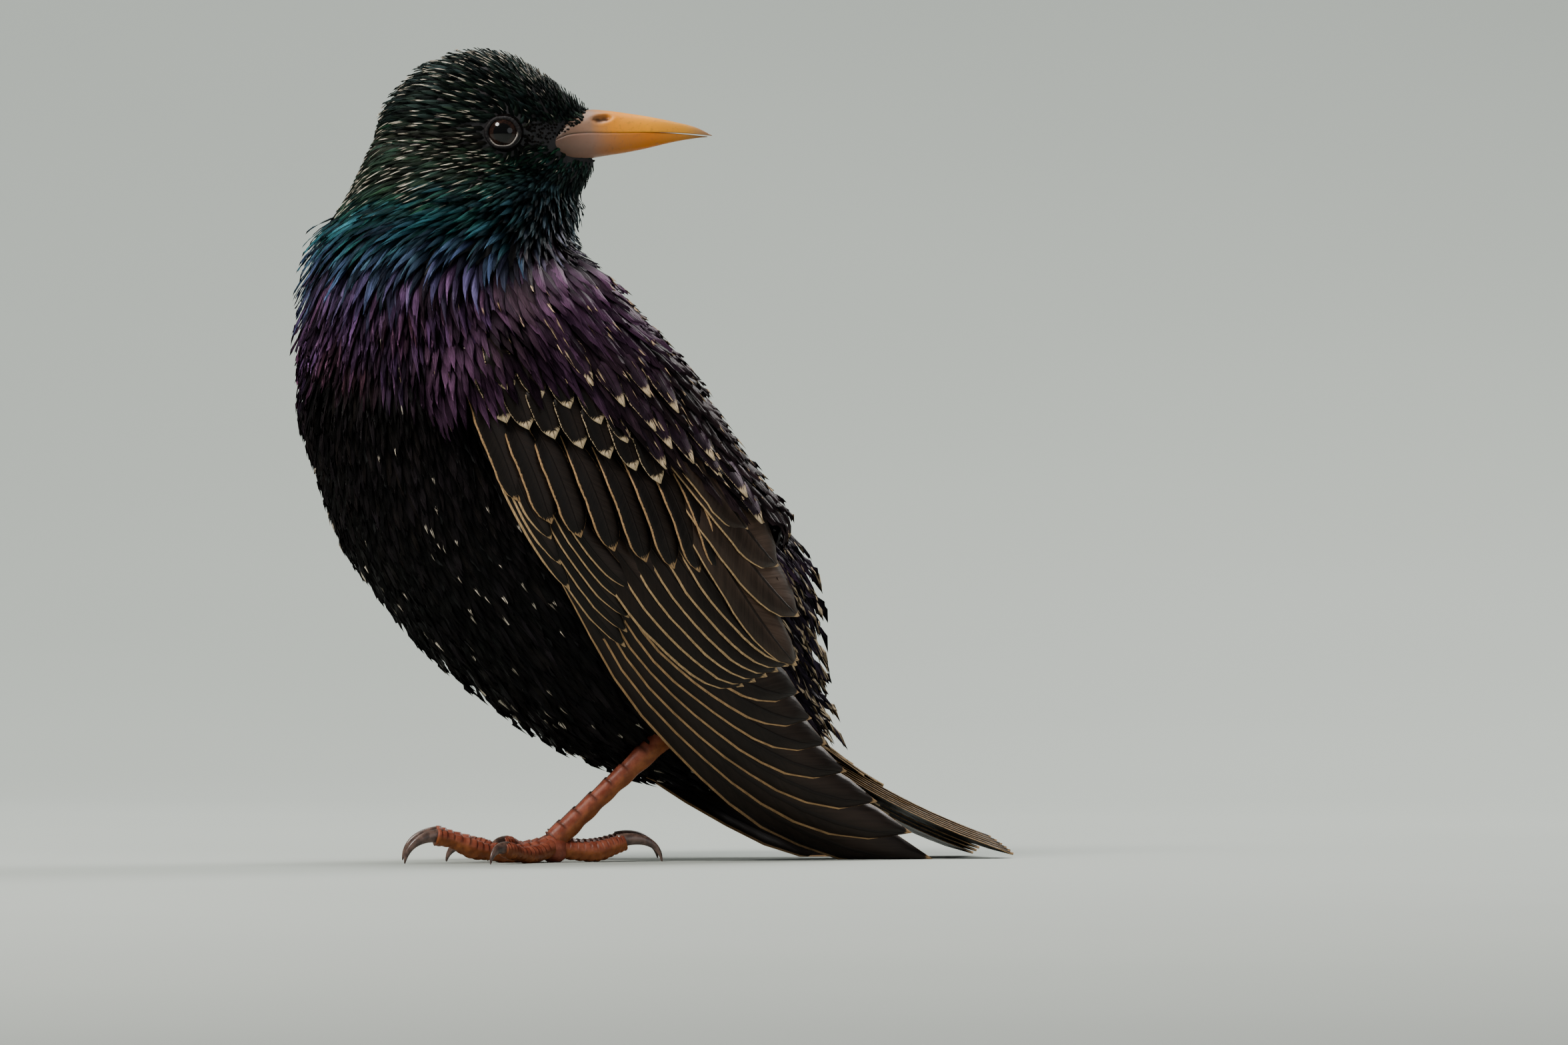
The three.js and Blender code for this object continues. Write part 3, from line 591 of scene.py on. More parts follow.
def make_camera():
    camera = bpy.data.objects.new("camera", bpy.data.cameras.new("camera"))
    camera.location = (studio_place(FRAME_CENTRE[0], -CAMERA_FAR, FRAME_CENTRE[1]) + SHIFT) * MM
    camera.rotation_euler = Vector(ACROSS).to_track_quat("-Z", "Y").to_euler()
    camera.data.sensor_width = SENSOR
    camera.data.lens = SENSOR * CAMERA_FAR / FRAME_WIDTH
    camera.data.clip_end = 20
    bpy.context.scene.collection.objects.link(camera)
    bpy.context.scene.camera = camera


def lamp(name, place, size, power, tone, target=(0, 0, 0.08)):
    """A round soft lamp at a studio place in metres, turned to the target."""
    light = bpy.data.objects.new(name, bpy.data.lights.new(name, "AREA"))
    light.data.shape = "DISK"
    light.data.size = size
    light.data.energy = power
    light.data.color = tone
    at = Vector(studio_place(*place))
    light.location = at
    light.rotation_euler = (Vector(target) - at).to_track_quat("-Z", "Y").to_euler()
    bpy.context.scene.collection.objects.link(light)


def make_floor():
    """A floor that curves up into a wall far behind, square to the camera."""
    t = Nodes("studio_paper")
    tone = t.mix(t.noise(3, 2), (0.35, 0.38, 0.35), (0.40, 0.43, 0.40))
    paper = t.principled(Base_Color=tone, Roughness=0.9)
    turn = np.linspace(0, math.pi / 2, 25)
    start, radius, half_width = 0.7, 1.8, 5.0
    depth = [-4.0, *(start + radius * np.sin(turn)), start + radius]
    rise = [0.0, *(radius - radius * np.cos(turn)), 4.5]
    pts = [
        studio_place(side, d, z) / MM - SHIFT
        for d, z in zip(depth, rise)
        for side in (-half_width, half_width)
    ]
    add_mesh("studio_floor", pts, grid_faces(1, len(depth), 2), paper)


def make_light():
    world = bpy.data.worlds.new("studio")
    world.use_nodes = True
    background = world.node_tree.nodes["Background"].inputs
    background["Color"].default_value = (0.86, 0.93, 1.0, 1)
    background["Strength"].default_value = 0.14
    bpy.context.scene.world = world
    lamp("key", (-0.75, -0.75, 1.25), 0.5, 30, (1.0, 0.96, 0.90))
    lamp("fill", (1.1, -1.2, 0.5), 0.9, 3, (0.90, 0.95, 1.0))
    lamp("rim", (0.8, 0.9, 0.9), 0.6, 15, (1.0, 0.98, 0.95))
    lamp("top", (-0.1, 0.1, 1.5), 0.7, 12, (1.0, 1.0, 1.0))
    lamp("wall_wash", (-0.4, 0.7, 2.2), 1.2, 34, (0.97, 1.0, 0.97), studio_place(0, 2.4, 0.7))


make_camera()
make_floor()
make_light()

# Skin: body, head and throat lofts, shrunk by the coat's depth, fused and smoothed


def loft(rings):
    """Points, quads and end fans of a closed loft with a middle point at each end."""
    rows, cols = rings.shape[:2]
    pts = np.concatenate([rings.reshape(-1, 3), rings[:1].mean(1), rings[-1:].mean(1)])
    first, last, end = rows * cols, rows * cols + 1, (rows - 1) * cols
    pairs = [(j, (j + 1) % cols) for j in range(cols)]
    fans = [np.array([first, q, p]) for p, q in pairs]
    fans += [np.array([last, end + p, end + q]) for p, q in pairs]
    return pts, grid_faces(1, rows, cols, True), fans


def head_rings(sections, steps, inset):
    angle = circle(72)[None]
    fw, top, bottom, wide = np.moveaxis(along(sections, np.linspace(0, len(sections) - 1, steps)), -1, 0)
    up = ((top + bottom) / 2)[:, None] + np.maximum((top - bottom) / 2 - inset, 0.5)[:, None] * np.cos(angle)
    return head_point(fw[:, None] + 0 * angle, up, np.maximum(wide - inset, 0.5)[:, None] * np.sin(angle))


def make_skin():
    v, angle = np.meshgrid(np.linspace(0.02, len(BODY) - 1, 130), circle(72), indexing="ij")
    lofts = (
        body_point(v, angle, -COAT),
        head_rings(SKULL, 60, HEAD_COAT),
        # the beard's upper side is hidden in the head, so only its lower side is drawn in
        head_rings(BEARD + [0, BEARD_COAT, 0, 0], 40, BEARD_COAT),
    )
    pts, quads, fans = joined([loft(rings) for rings in lofts])
    skin = add_mesh("skin", pts, quads, SKIN, caps=fans)
    fuse = skin.modifiers.new("fuse", "REMESH")
    fuse.mode = "VOXEL"
    fuse.voxel_size = 1.0 * MM
    relax = skin.modifiers.new("relax", "SMOOTH")
    relax.iterations = 12
    relax.factor = 0.5
    me = bpy.data.meshes.new_from_object(skin.evaluated_get(bpy.context.evaluated_depsgraph_get()))
    skin.modifiers.clear()
    skin.data = me
    me.polygons.foreach_set("use_smooth", [True] * len(me.polygons))
    if not me.materials:
        me.materials.append(SKIN)
    return keep(skin, "body_plumage", "head", "neck", "torso")


class Surface:
    """Nearest points and smooth normals on a triangle mesh, in the drawing frame."""

    def __init__(self, *parts):
        self.co, self.tri, _caps = joined(parts)
        a, b, c = self.corners()
        face = np.cross(b - a, c - a)
        nor = np.zeros_like(self.co)
        for k in range(3):
            np.add.at(nor, self.tri[:, k], face)
        self.nor = unit(nor)
        self.tree = BVHTree.FromPolygons(self.co.tolist(), self.tri.tolist())

    def corners(self):
        return (self.co[self.tri[:, k]] for k in range(3))

    def near(self, pts):
        out, nor = np.empty_like(pts), np.empty_like(pts)
        for i, p in enumerate(pts.tolist()):
            at, _normal, face, _far = self.tree.find_nearest(p)
            corners = self.tri[face]
            out[i] = at
            nor[i] = weights(np.array(at), *self.co[corners]) @ self.nor[corners]
        return out, unit(nor)


def weights(p, a, b, c):
    """How much each corner counts at a point of a triangle."""
    v0, v1, v2 = b - a, c - a, p - a
    d00, d01, d11, d20, d21 = v0 @ v0, v0 @ v1, v1 @ v1, v2 @ v0, v2 @ v1
    den = d00 * d11 - d01 * d01
    if abs(den) < 1e-12:
        return np.array([1 / 3] * 3)
    v = (d11 * d20 - d01 * d21) / den
    w = (d00 * d21 - d01 * d20) / den
    return np.array([1 - v - w, v, w])


def mesh_part(me):
    """A mesh's points in the drawing frame and its triangles, with no caps."""
    co = np.empty(len(me.vertices) * 3, np.float32)
    me.vertices.foreach_get("co", co)
    me.calc_loop_triangles()
    tri = np.empty(len(me.loop_triangles) * 3, np.int32)
    me.loop_triangles.foreach_get("vertices", tri)
    return co.reshape(-1, 3).astype(float) / MM - SHIFT, tri.reshape(-1, 3), ()


def point_tree(points):
    tree = KDTree(len(points))
    for index, point in enumerate(points.tolist()):
        tree.insert(point, index)
    tree.balance()
    return tree


SKIN_MESH = mesh_part(make_skin().data)
SURFACE = Surface(SKIN_MESH)

# Bill


def nostril(ring):
    """Presses a nostril with a raised rim into each side of the upper mandible, and returns its slit, which
    is darkened as painted shade in the opening.
    """
    ahead, above, side = ring[..., 0] - NOSTRIL[0], ring[..., 1] - NOSTRIL[1], ring[..., 2]
    on_side = np.abs(side) > 0.8
    slit = ramp(np.hypot(ahead / 1.9, (above + 0.30 - 0.1 * ahead) / 0.5), 1.0, 0.6) * on_side
    far = np.sqrt((ahead / 2.3) ** 2 + ((above - 0.12 * ahead) / 0.85) ** 2)
    dent = ramp(far, 1.0, 0.55) * 0.95
    rim = np.exp(-(((far - 1.25) / 0.3) ** 2)) * 0.12
    ring[..., 2] -= np.sign(side) * (dent - rim) * on_side
    return slit


def mandible(name, out):
    """One half of the bill; out is 1 for the upper and -1 for the lower."""
    rows, arch_cols, floor_cols = 90, 32, 8
    t = np.linspace(0, 1, rows)
    f, culmen, mouth, keel, wide = np.moveaxis(along(BILL, t * (len(BILL) - 1)), -1, 0)
    if out < 0:
        f = np.minimum(f, BILL[0, 0] + (LOWER_BILL_END - BILL[0, 0]) * t)
    base = mouth + out * 0.03
    edge = culmen if out > 0 else keel
    edge = np.where(out * (edge - base) < 0.15, base + out * 0.15, edge)
    f, base, edge, wide = (k[:, None] for k in (f, base, edge, wide))
    # a little keeled along the culmen and pinched above the cutting edge
    a = np.linspace(0, math.pi, arch_cols)[None]
    arch_wide = wide * np.sign(np.cos(a)) * np.abs(np.cos(a)) ** 0.92
    arch = np.stack([f + 0 * a, base + (edge - base) * np.sin(a) ** 1.05, arch_wide], -1)
    k = np.linspace(-1, 1, floor_cols + 2)[1:-1][None]
    floor_high = base + out * 0.05 * (1 - k**2) * np.minimum(1, wide)
    ring = np.concatenate([arch, np.stack([f + 0 * k, floor_high, wide * k], -1)], 1)
    slit = nostril(ring) if out > 0 else np.zeros(ring.shape[:2])
    cols = arch_cols + floor_cols
    vane = np.empty((rows, cols, 2))
    vane[..., 0] = (f - 12) / 31
    vane[..., 1] = np.arange(cols) / cols
    faces, caps = tube_faces(rows, cols, -out)
    material = bill_material(name)
    pts = head_point(ring[..., 0], ring[..., 1], ring[..., 2])
    horn = add_mesh(name + "_horn", pts, faces, material, {"Vane": vane}, values={"groove": slit}, caps=caps)
    return keep(horn, "bill", name)


HORNS = [mandible("bill_upper", 1), mandible("bill_lower", -1)]
FACE = Surface(SKIN_MESH, *(mesh_part(horn.data) for horn in HORNS))

# The folded wing's outer side as a smooth bulge over the body, for the feathers that hang over it

WING_BULGE = 3.9
slab_s = np.arange(-30.0, 66.0, 1.5)
slab_t = np.arange(-14.0, 44.0, 1.5)
SLAB_S, SLAB_T = (k.ravel() for k in np.meshgrid(slab_s, slab_t, indexing="ij"))
inside = ramp(SLAB_S, -26, -8) * ramp(SLAB_T, 43, 35) * ramp(SLAB_T, -13, -3) * ramp(SLAB_S, 66, 56)
SLAB_RISE = -COAT - 0.3 + (WING_BULGE + COAT + 0.3) * inside
SLAB = wing_point(SLAB_S, SLAB_T, SLAB_RISE)
slab_quads = grid_faces(1, len(slab_s), len(slab_t))
slab_tri = np.concatenate([slab_quads[:, [0, 1, 2]], slab_quads[:, [0, 2, 3]]])
DRAPE = Surface(SKIN_MESH, (SLAB, slab_tri, ()), (SLAB * MIRROR, slab_tri[:, ::-1], ()))
WING_TREE = point_tree(SLAB)


def wing_place(pts):
    """Along, across and rise of the nearest place on the folded wing, either side, and the distance."""
    left = np.stack([pts[:, 0], -np.abs(pts[:, 1]), pts[:, 2]], -1)
    found = [WING_TREE.find(p) for p in left.tolist()]
    index = np.array([place[1] for place in found])
    return SLAB_S[index], SLAB_T[index], SLAB_RISE[index], np.array([place[2] for place in found])


# The lie of the feathers: away from the bill on the head, along the body below it

BODY_V, BODY_ANGLE = (
    k.ravel() for k in np.meshgrid(np.linspace(0.2, len(BODY) - 1.02, 150), circle(90), indexing="ij")
)
BODY_LIE = unit(body_point(BODY_V + 0.01, BODY_ANGLE, -COAT) - body_point(BODY_V - 0.01, BODY_ANGLE, -COAT))
BODY_TREE = point_tree(body_point(BODY_V, BODY_ANGLE, -COAT))
BILL_ROOT = head_point(19.5, -0.5, 0)


def body_place(pts):
    """Section number and angle of the nearest place on the body, with the body's own lie there."""
    index = np.array([BODY_TREE.find(p)[1] for p in pts.tolist()])
    return BODY_V[index], BODY_ANGLE[index], BODY_LIE[index]


def backness(pts):
    """1 on the back, -1 on the belly."""
    return np.cos(body_place(pts)[1])


def lie(pts, normals):
    """Which way the feathers point at places on the surface."""
    down = body_place(pts)[2]
    low = ramp(pts[:, 2], 132, 112)[:, None]
    flow = unit(pts - BILL_ROOT) * (1 - low) + down * low
    # the feathers part round the eye
    f, u, a = head_frame(pts)
    near = np.hypot(f, u)
    part = 1.6 * (ramp(near, 7.5, 3.6) * ramp(f, -1, 3) * (np.abs(a) > 4))
    out = (FORWARD * f[:, None] + UP * u[:, None]) / np.maximum(near, 0.1)[:, None]
    return unit(level(flow + out * part[:, None], normals))


def scatter(spacing, wanted, surface=SURFACE):
    """Root points on a surface, at least spacing(p) apart, where wanted(p) is true."""
    a, b, c = surface.corners()
    mid = (a + b + c) / 3
    area = np.linalg.norm(np.cross(b - a, c - a), axis=-1) / 2
    gap = spacing(mid)
    weight = np.where(wanted(mid), area / gap**2, 0)
    throws = int(weight.sum() * 7.0)
    chosen = RNG.choice(len(mid), throws, p=weight / weight.sum())
    r1, r2 = np.sqrt(RNG.random(throws)), RNG.random(throws)
    share = np.stack([1 - r1, r1 * (1 - r2), r1 * r2], -1)
    pts = share[:, :1] * a[chosen] + share[:, 1:2] * b[chosen] + share[:, 2:] * c[chosen]
    gaps = gap[chosen]
    around = [(x, y, z) for x in (-1, 0, 1) for y in (-1, 0, 1) for z in (-1, 0, 1)]
    taken, kept = {}, []
    cells = np.floor(pts / float(gaps.max())).astype(int).tolist()
    for i, (x, y, z) in enumerate(cells):
        px, py, pz = pts[i].tolist()
        clear = gaps[i] ** 2
        near = (q for dx, dy, dz in around for q in taken.get((x + dx, y + dy, z + dz), ()))
        if any((px - q[0]) ** 2 + (py - q[1]) ** 2 + (pz - q[2]) ** 2 < clear for q in near):
            continue
        taken.setdefault((x, y, z), []).append((px, py, pz))
        kept.append(i)
    return pts[kept]


def bake_place(pts, v, angle):
    """The place of each root on the skin unrolled: body below, head above."""
    on_head = pts[:, 2] > 136
    fore, up, side = head_frame(pts)
    turn = np.arctan2(side, up)
    across = np.where(on_head, 0.05 + 0.9 * (turn / TURN + 0.5), 0.03 + 0.94 * angle / TURN)
    down = np.where(on_head, 0.80 + 0.18 * np.clip((fore + 28) / 50, 0, 1), 0.02 + 0.74 * v / (len(BODY) - 1))
    return np.stack([across, down], -1)


VANE_COLS = 4
BAKE_PATCH = 0.003
SIZES = ("length", "width", "point", "fray", "root", "tip", "curl", "turn", "gloss", "spot", "spot_wide")


def coat(name, roots, look, steps, slot="body_plumage", surface=SURFACE):
    """Vanes laid over a surface from their roots. look gives each feather's sizes and colours by place."""
    pts, nor = surface.near(roots)
    v, angle, _lie = body_place(pts)
    f = look(pts, angle)
    n, rows, cols = len(pts), steps + 1, VANE_COLS + 1
    sizes = (np.broadcast_to(getattr(f, key), n)[:, None] for key in SIZES)
    length, width, point, fray, root, tip, curl, turn, gloss, spot, spot_wide = sizes
    ahead = lie(pts, nor)
    ahead = unit(ahead + np.cross(nor, ahead) * turn)
    path, ups, lies = [pts], [nor], [ahead]
    step = length / steps
    for _ in range(steps):
        at, up = surface.near(path[-1] + lies[-1] * step)
        ahead = unit(0.6 * lies[-1] + 0.4 * lie(at, up))
        # each station keeps its distance, even where the nearest point falls short
        path.append(path[-1] + unit(at - path[-1]) * step)
        ups.append(unit(up + ups[-1]))
        lies.append(unit(level(ahead, up)))
    path, ups, lies = (np.stack(k, 1) for k in (path, ups, lies))
    u = np.linspace(0, 1, rows)[None]
    swell = np.minimum(1, 0.35 + 2.2 * u)
    close = np.clip((u - 0.55) / 0.45, 0, 1)
    round_end = np.sqrt(np.maximum(0, 1 - close**2))
    sharp_end = (1 - np.clip((u - 0.35) / 0.65, 0, 1)) ** 0.85
    outline = width * swell * (round_end * (1 - point) + sharp_end * point)
    outline = np.maximum(outline, (0.05 + 0.45 * fray * (1 - point)) * width)
    lift = root + (tip - root) * u**curl
    # barbs end unevenly: the middle ones reach furthest, and every other one falls back
    c = np.linspace(-1, 1, cols)
    jag = RNG.random((n, rows, cols)) - 0.5
    fray = fray[..., None]
    back = np.abs(c) ** 2 * 0.10 + fray * (jag * 0.35 + np.arange(cols) % 2 * 0.24)
    back = back * ramp(u, 0.45, 1.0)[..., None] * length[..., None]
    wobble = 1 + fray * 0.5 * jag * (np.abs(c) > 0.99)
    camber = width[..., None] * 0.2 * np.abs(c) ** 1.3
    stray = fray * 0.5 * jag * ramp(u, 0.5, 1.0)[..., None]
    sides = np.cross(ups, lies)
    points = (
        path[:, :, None]
        + sides[:, :, None] * (outline[:, :, None] / 2 * c * wobble)[..., None]
        + ups[:, :, None] * (lift[:, :, None] - camber + stray)[..., None]
        - lies[:, :, None] * back[..., None]
    )
    points[..., 2] = np.maximum(points[..., 2], FEATHER_GAP)
    vane = np.empty((n, rows, cols, 2))
    vane[..., 0] = (c + 1) / 2
    vane[..., 1] = u[..., None]
    # the bake's map: a small patch for each feather
    bake = (vane - 0.5) * BAKE_PATCH + bake_place(pts, v, angle)[:, None, None]
    seed = RNG.random((n, 1))
    each = rows * cols
    feathers = add_mesh(
        name,
        points,
        grid_faces(n, rows, cols),
        PLUMAGE,
        {"Vane": vane, "OFBake": bake},
        {
            "tint": np.repeat(np.concatenate([f.tint, gloss], 1), each, 0),
            "mark": np.repeat(np.concatenate([f.mark, spot], 1), each, 0),
        },
        {"spot": np.repeat(spot_wide, each), "seed": np.repeat(seed, each)},
    )
    keep(feathers, slot)


# Colours and sizes of the small feathers, by place


def wave(p, scale, seed=0.0):
    """A cheap smooth variation over space, about -1 to 1."""
    x, y, z = (p / scale + seed).T
    a = np.sin(x * 1.7 + 1.3 * np.sin(y))
    b = np.sin(y * 1.9 + 1.1 * np.sin(z))
    c = np.sin(z * 1.3 + 1.7 * np.sin(x))
    return (a + b + c) / 3


GREEN = np.array([0.012, 0.058, 0.034])
TEAL = np.array([0.015, 0.070, 0.078])
BLUE = np.array([0.036, 0.052, 0.100])
PURPLE = np.array([0.070, 0.034, 0.078])
MAGENTA = np.array([0.095, 0.034, 0.060])
BLACK = np.array([0.0052, 0.0038, 0.0040])
THROAT_TONE = np.array([0.016, 0.022, 0.026])
MANTLE_TONE = np.array([0.048, 0.022, 0.042])
RUMP_TONE = np.array([0.018, 0.012, 0.018])
CROWN_TONE = np.array([0.011, 0.020, 0.016])
FACE_BROWN = np.array([0.030, 0.020, 0.015])
WING_SIDE_PURPLE = np.array([0.062, 0.027, 0.058])
SCAPULAR_TONE = np.array([0.018, 0.010, 0.012])


def shade_of(pts, angle):
    """Glossy ground colour by region: green-black head, teal to violet neck, purple breast, black belly."""
    back = np.cos(angle)
    z = pts[:, 2] + 3.0 * wave(pts, 7.0) + 2.5 * wave(pts, 3.0, 4.0) + RNG.normal(0, 1.6, len(pts))
    dark_patch = ramp(wave(pts, 5.0, 8.0), 0.0, 0.55)
    red_patch = ramp(wave(pts, 4.0, 5.0), -0.2, 0.5)
    f, u, _a = head_frame(pts)
    throat = ramp(f, -2, 8) * ramp(pts[:, 2], 122, 130) * ramp(u, -3, -8)
    layers = [
        (GREEN, ramp(z, 150, 143)),
        (TEAL, ramp(z, 142, 135)),
        (BLUE, ramp(z, 134, 127) * 0.85),
        (PURPLE, ramp(z, 127, 119)),
        (BLACK * 2, ramp(z, 124, 116) * dark_patch * 0.8),
        (MAGENTA, ramp(z, 120, 112) * red_patch),
        (BLACK, ramp(z, 116, 99) * ramp(-back, -0.75, -0.15)),
        # the throat and the middle of the breast are darker
        (THROAT_TONE, throat * 0.75),
        (MANTLE_TONE, ramp(z, 131, 123) * ramp(back, 0.0, 0.5)),
        (RUMP_TONE, ramp(z, 86, 62) * ramp(back, 0.0, 0.5)),
    ]
    colour = np.broadcast_to(CROWN_TONE, (len(pts), 3))
    for tone, share in layers:
        colour = colour * (1 - share[:, None]) + tone * share[:, None]
    return colour


def base_look(pts, angle):
    """What all the looks share: the ground colour, brighter on some feathers, and six draws r for each."""
    r = RNG.random((len(pts), 6))
    tint = shade_of(pts, angle) * (0.22 + 1.7 * r[:, :1] ** 2.2)
    tint[:, 2] *= 0.8 + 0.4 * r[:, 1]
    return SimpleNamespace(tint=tint, curl=0.9, root=-0.2), r.T


def spots(f, on, size, tone, least, more, r):
    """Pale tips of this size and tone where on is true, from least to least + more in brightness."""
    f.spot = np.where(on, size, 0)
    f.mark = np.array(tone) * (least + more * r[4])[:, None]


def near_eye(p):
    """True where an eye and its lid leave no room for feathers."""
    f, u, a = head_frame(p)
    return (np.hypot(f, u) < 3.4) & (np.abs(a) > 5)


# Where the bill is bare: heights of its upper and lower feather edges along it
BARE_UPPER = [(9.0, -2.3), (11, -0.9), (13.7, 0.7), (15.6, 1.4), (17.0, 2.2), (17.8, 5.0), (19, 9)]
BARE_LOWER = [(9.0, -2.5), (10.8, -2.8), (12.4, -3.2), (13.0, -3.8), (13.6, -5.4), (18.8, -4.7)]


def on_bill(p):
    f, u, _a = head_frame(p)
    upper = np.interp(f, *np.array(BARE_UPPER).T)
    lower = np.interp(f, *np.array(BARE_LOWER).T)
    return (f > 18.8) | ((f > 9) & (u < upper) & (u > lower))


def lore(f, u):
    """The smooth dark band from eye to gape, 0 to 1."""
    middle = -0.6 + 0.08 * (f - 4)
    return ramp(f, 3.0, 4.5) * ramp(f, 17, 14) * ramp(np.abs(u - middle), 2.6, 1.5)


def head_look(pts, angle):
    f, r = base_look(pts, angle)
    fw, up, _side = head_frame(pts)
    face = ramp(fw, -12, 12)
    band = lore(fw, up)
    chin = ramp(up, -6, -13) * ramp(fw, -4, 6)
    crown = ramp(up, 5, 11)
    ear = ramp(up, 3, -1) * ramp(up, -13, -8) * ramp(fw, 7, -3)
    brow = ramp(up, 1.5, 3.0) * ramp(up, 8.5, 5) * ramp(fw, 1, 5)
    ring = ramp(np.abs(np.hypot(fw, up) - 4.3), 0.8, 0.3) * ramp(fw, 3.0, 1.0)
    f.length = (5.6 - 3.2 * face) * (0.8 + 0.4 * r[0]) * (1 - 0.5 * band) * (1 + 1.6 * chin)
    f.length *= 1 + 0.6 * ramp(pts[:, 2], 147, 137) * (1 - face)
    f.width = 0.55 + 0.13 * np.minimum(f.length, 6)
    f.point = 0.9
    f.fray = 0.25
    f.tip = 1.35 - 0.65 * face - 0.35 * band + chin * (0.4 + 1.1 * r[1])
    f.tip += (0.3 + 1.1 * r[1] ** 2) * ramp(up, 3, 9) * (1 - 0.6 * face)
    f.tip += 0.5 * brow
    f.turn = (r[2] - 0.5) * 0.5
    # pale streaks: dense on crown and ear coverts, none on lores, chin and round the gape
    share = np.clip(0.12 + 0.33 * crown + 0.28 * ear, 0, 0.7) * ramp(fw, 15, 9)
    share *= (1 - band) * (1 - chin) * (1 - 0.75 * brow) * ramp(up, -17, -11)
    spots(f, r[3] < np.maximum(share, 0.45 * ring), 0.36 + 0.2 * r[4], (0.66, 0.58, 0.47), 0.6, 0.7, r)
    f.spot_wide = 0.42 + 0.3 * r[5]
    warm = np.clip(ear * 0.5 + band, 0, 1)
    brown = ((0.3 + 0.9 * r[0]) * (1 - 0.75 * band) * warm)[:, None]
    f.tint = f.tint * (1 - warm)[:, None] + FACE_BROWN * brown
    f.gloss = 0.5 * (1 - warm) * (1 - 0.6 * face)
    return f


def neck_look(pts, angle):
    f, r = base_look(pts, angle)
    back = np.cos(angle)
    z = pts[:, 2]
    ahead = head_frame(pts)[0]
    nape = ramp(back, 0.3, 0.8) * ramp(z, 128, 119)
    f.length = (7.0 + 4.5 * ramp(z, 140, 122)) * (0.8 + 0.4 * r[0])
    f.length *= 1 - 0.3 * ramp(back, 0.3, 0.9)
    f.width = (1.3 + 0.8 * ramp(z, 138, 118)) * (0.8 + 0.4 * r[4])
    f.point = 1.0
    f.fray = 0.2 + 0.15 * ramp(z, 125, 112)
    f.tip = (2.1 + 2.9 * r[1] ** 1.3) * (1 - 0.35 * ramp(ahead, 4, 10))
    f.turn = (r[2] - 0.5) * 0.6 + 0.25 * wave(pts, 9.0, 2.0)
    f.gloss = 0.72 - 0.25 * ramp(back, 0.0, 0.5) * ramp(z, 131, 123)
    share = 0.05 * ramp(z, 122, 112) + 0.6 * nape + 0.22 * ramp(z, 132, 141) * ramp(ahead, 2, -4)
    spots(f, r[3] < share, 0.12 + 0.10 * r[4], (0.58, 0.50, 0.40), 0.6, 0.7, r)
    f.spot_wide = 0.9
    return f


def body_look(pts, angle):
    f, r = base_look(pts, angle)
    z = pts[:, 2]
    dorsal = ramp(np.cos(angle), 0.1, 0.5)
    breast = ramp(z, 86, 102) * (1 - dorsal)
    belly = (1 - breast) * (1 - dorsal)
    loose = belly * ramp(z, 66, 52) * (r[5] < 0.3)
    on = r[3] < 0.02 * breast + 0.06 * belly * ramp(z, 96, 72) + 0.01 * belly + 0.4 * dorsal
    marked = on & (belly > 0.5)
    f.length = (8.5 + 2.0 * breast + 1.5 * dorsal) * (0.8 + 0.4 * r[0])
    f.length *= 1 + 0.35 * loose
    f.width = (1.6 * breast + 1.9 * belly + 2.8 * dorsal) * (0.8 + 0.4 * r[4])
    f.width = np.where(marked, 2.1, f.width)
    f.point = np.where(marked, 0.15, 0.95 * breast + 0.8 * belly + 0.6 * dorsal)
    f.fray = 0.4 * breast + 0.6 * belly + 0.5 * dorsal
    f.tip = 1.1 + 0.7 * r[1] + 1.5 * breast
    f.tip += 1.2 * loose
    f.tip += 0.5 * marked
    f.turn = (r[2] - 0.5) * (0.5 * breast + 0.45 * belly + 0.25 * dorsal)
    f.gloss = 0.72 * breast * ramp(z, 98, 110) + 0.05 * belly + 0.4 * dorsal
    size = (0.15 * breast + 0.17 * belly + 0.20 * dorsal) * (0.7 + 0.6 * r[4])
    white, buff = (0.66, 0.58, 0.47), (0.66, 0.46, 0.27)
    tone = white * (1 - dorsal)[:, None] + buff * dorsal[:, None]
    spots(f, on, np.where(marked, 0.24, size), tone, 0.6, 0.6, r)
    f.spot_wide = 0.8 * breast + 0.6 * belly + 0.55 * dorsal
    return f


def drape_look(pts, angle):
    """Mantle and scapular feathers, long and loose with drop-shaped buff tips, and the breast's side."""
    f, r = base_look(pts, angle)
    s, t, _rise, _far = wing_place(pts)
    side = ramp(s, 2, -8) * ramp(t, 22, 12)
    upper = 1 - side
    f.length = (9.0 * side + (9.5 + 4.0 * ramp(t, 36, 24)) * upper) * (0.85 + 0.3 * r[0])
    f.width = (1.8 * side + 3.1 * upper) * (0.8 + 0.4 * r[4])
    f.point = 1.0 * side + 0.8 * upper
    f.fray = 0.5
    f.root = -0.4
    f.tip = 0.9 + 1.4 * r[1]
    f.turn = (r[2] - 0.5) * 0.3
    f.gloss = 0.65 * side + 0.42 * upper
    low = np.maximum(ramp(s, -6, 12) * upper, ramp(wave(pts, 5.0, 8.0), 0.0, 0.6) * 0.8)[:, None]
    f.tint = (WING_SIDE_PURPLE * (1 - low) + SCAPULAR_TONE * low) * (0.3 + 1.2 * r[0] ** 1.5)[:, None]
    size = (0.14 * side + 0.20 * upper) * (0.75 + 0.5 * r[4])
    spots(f, r[3] < 0.06 * side + 0.42 * upper, size, (0.64, 0.46, 0.28), 0.65, 0.6, r)
    f.spot_wide = 0.62
    return f


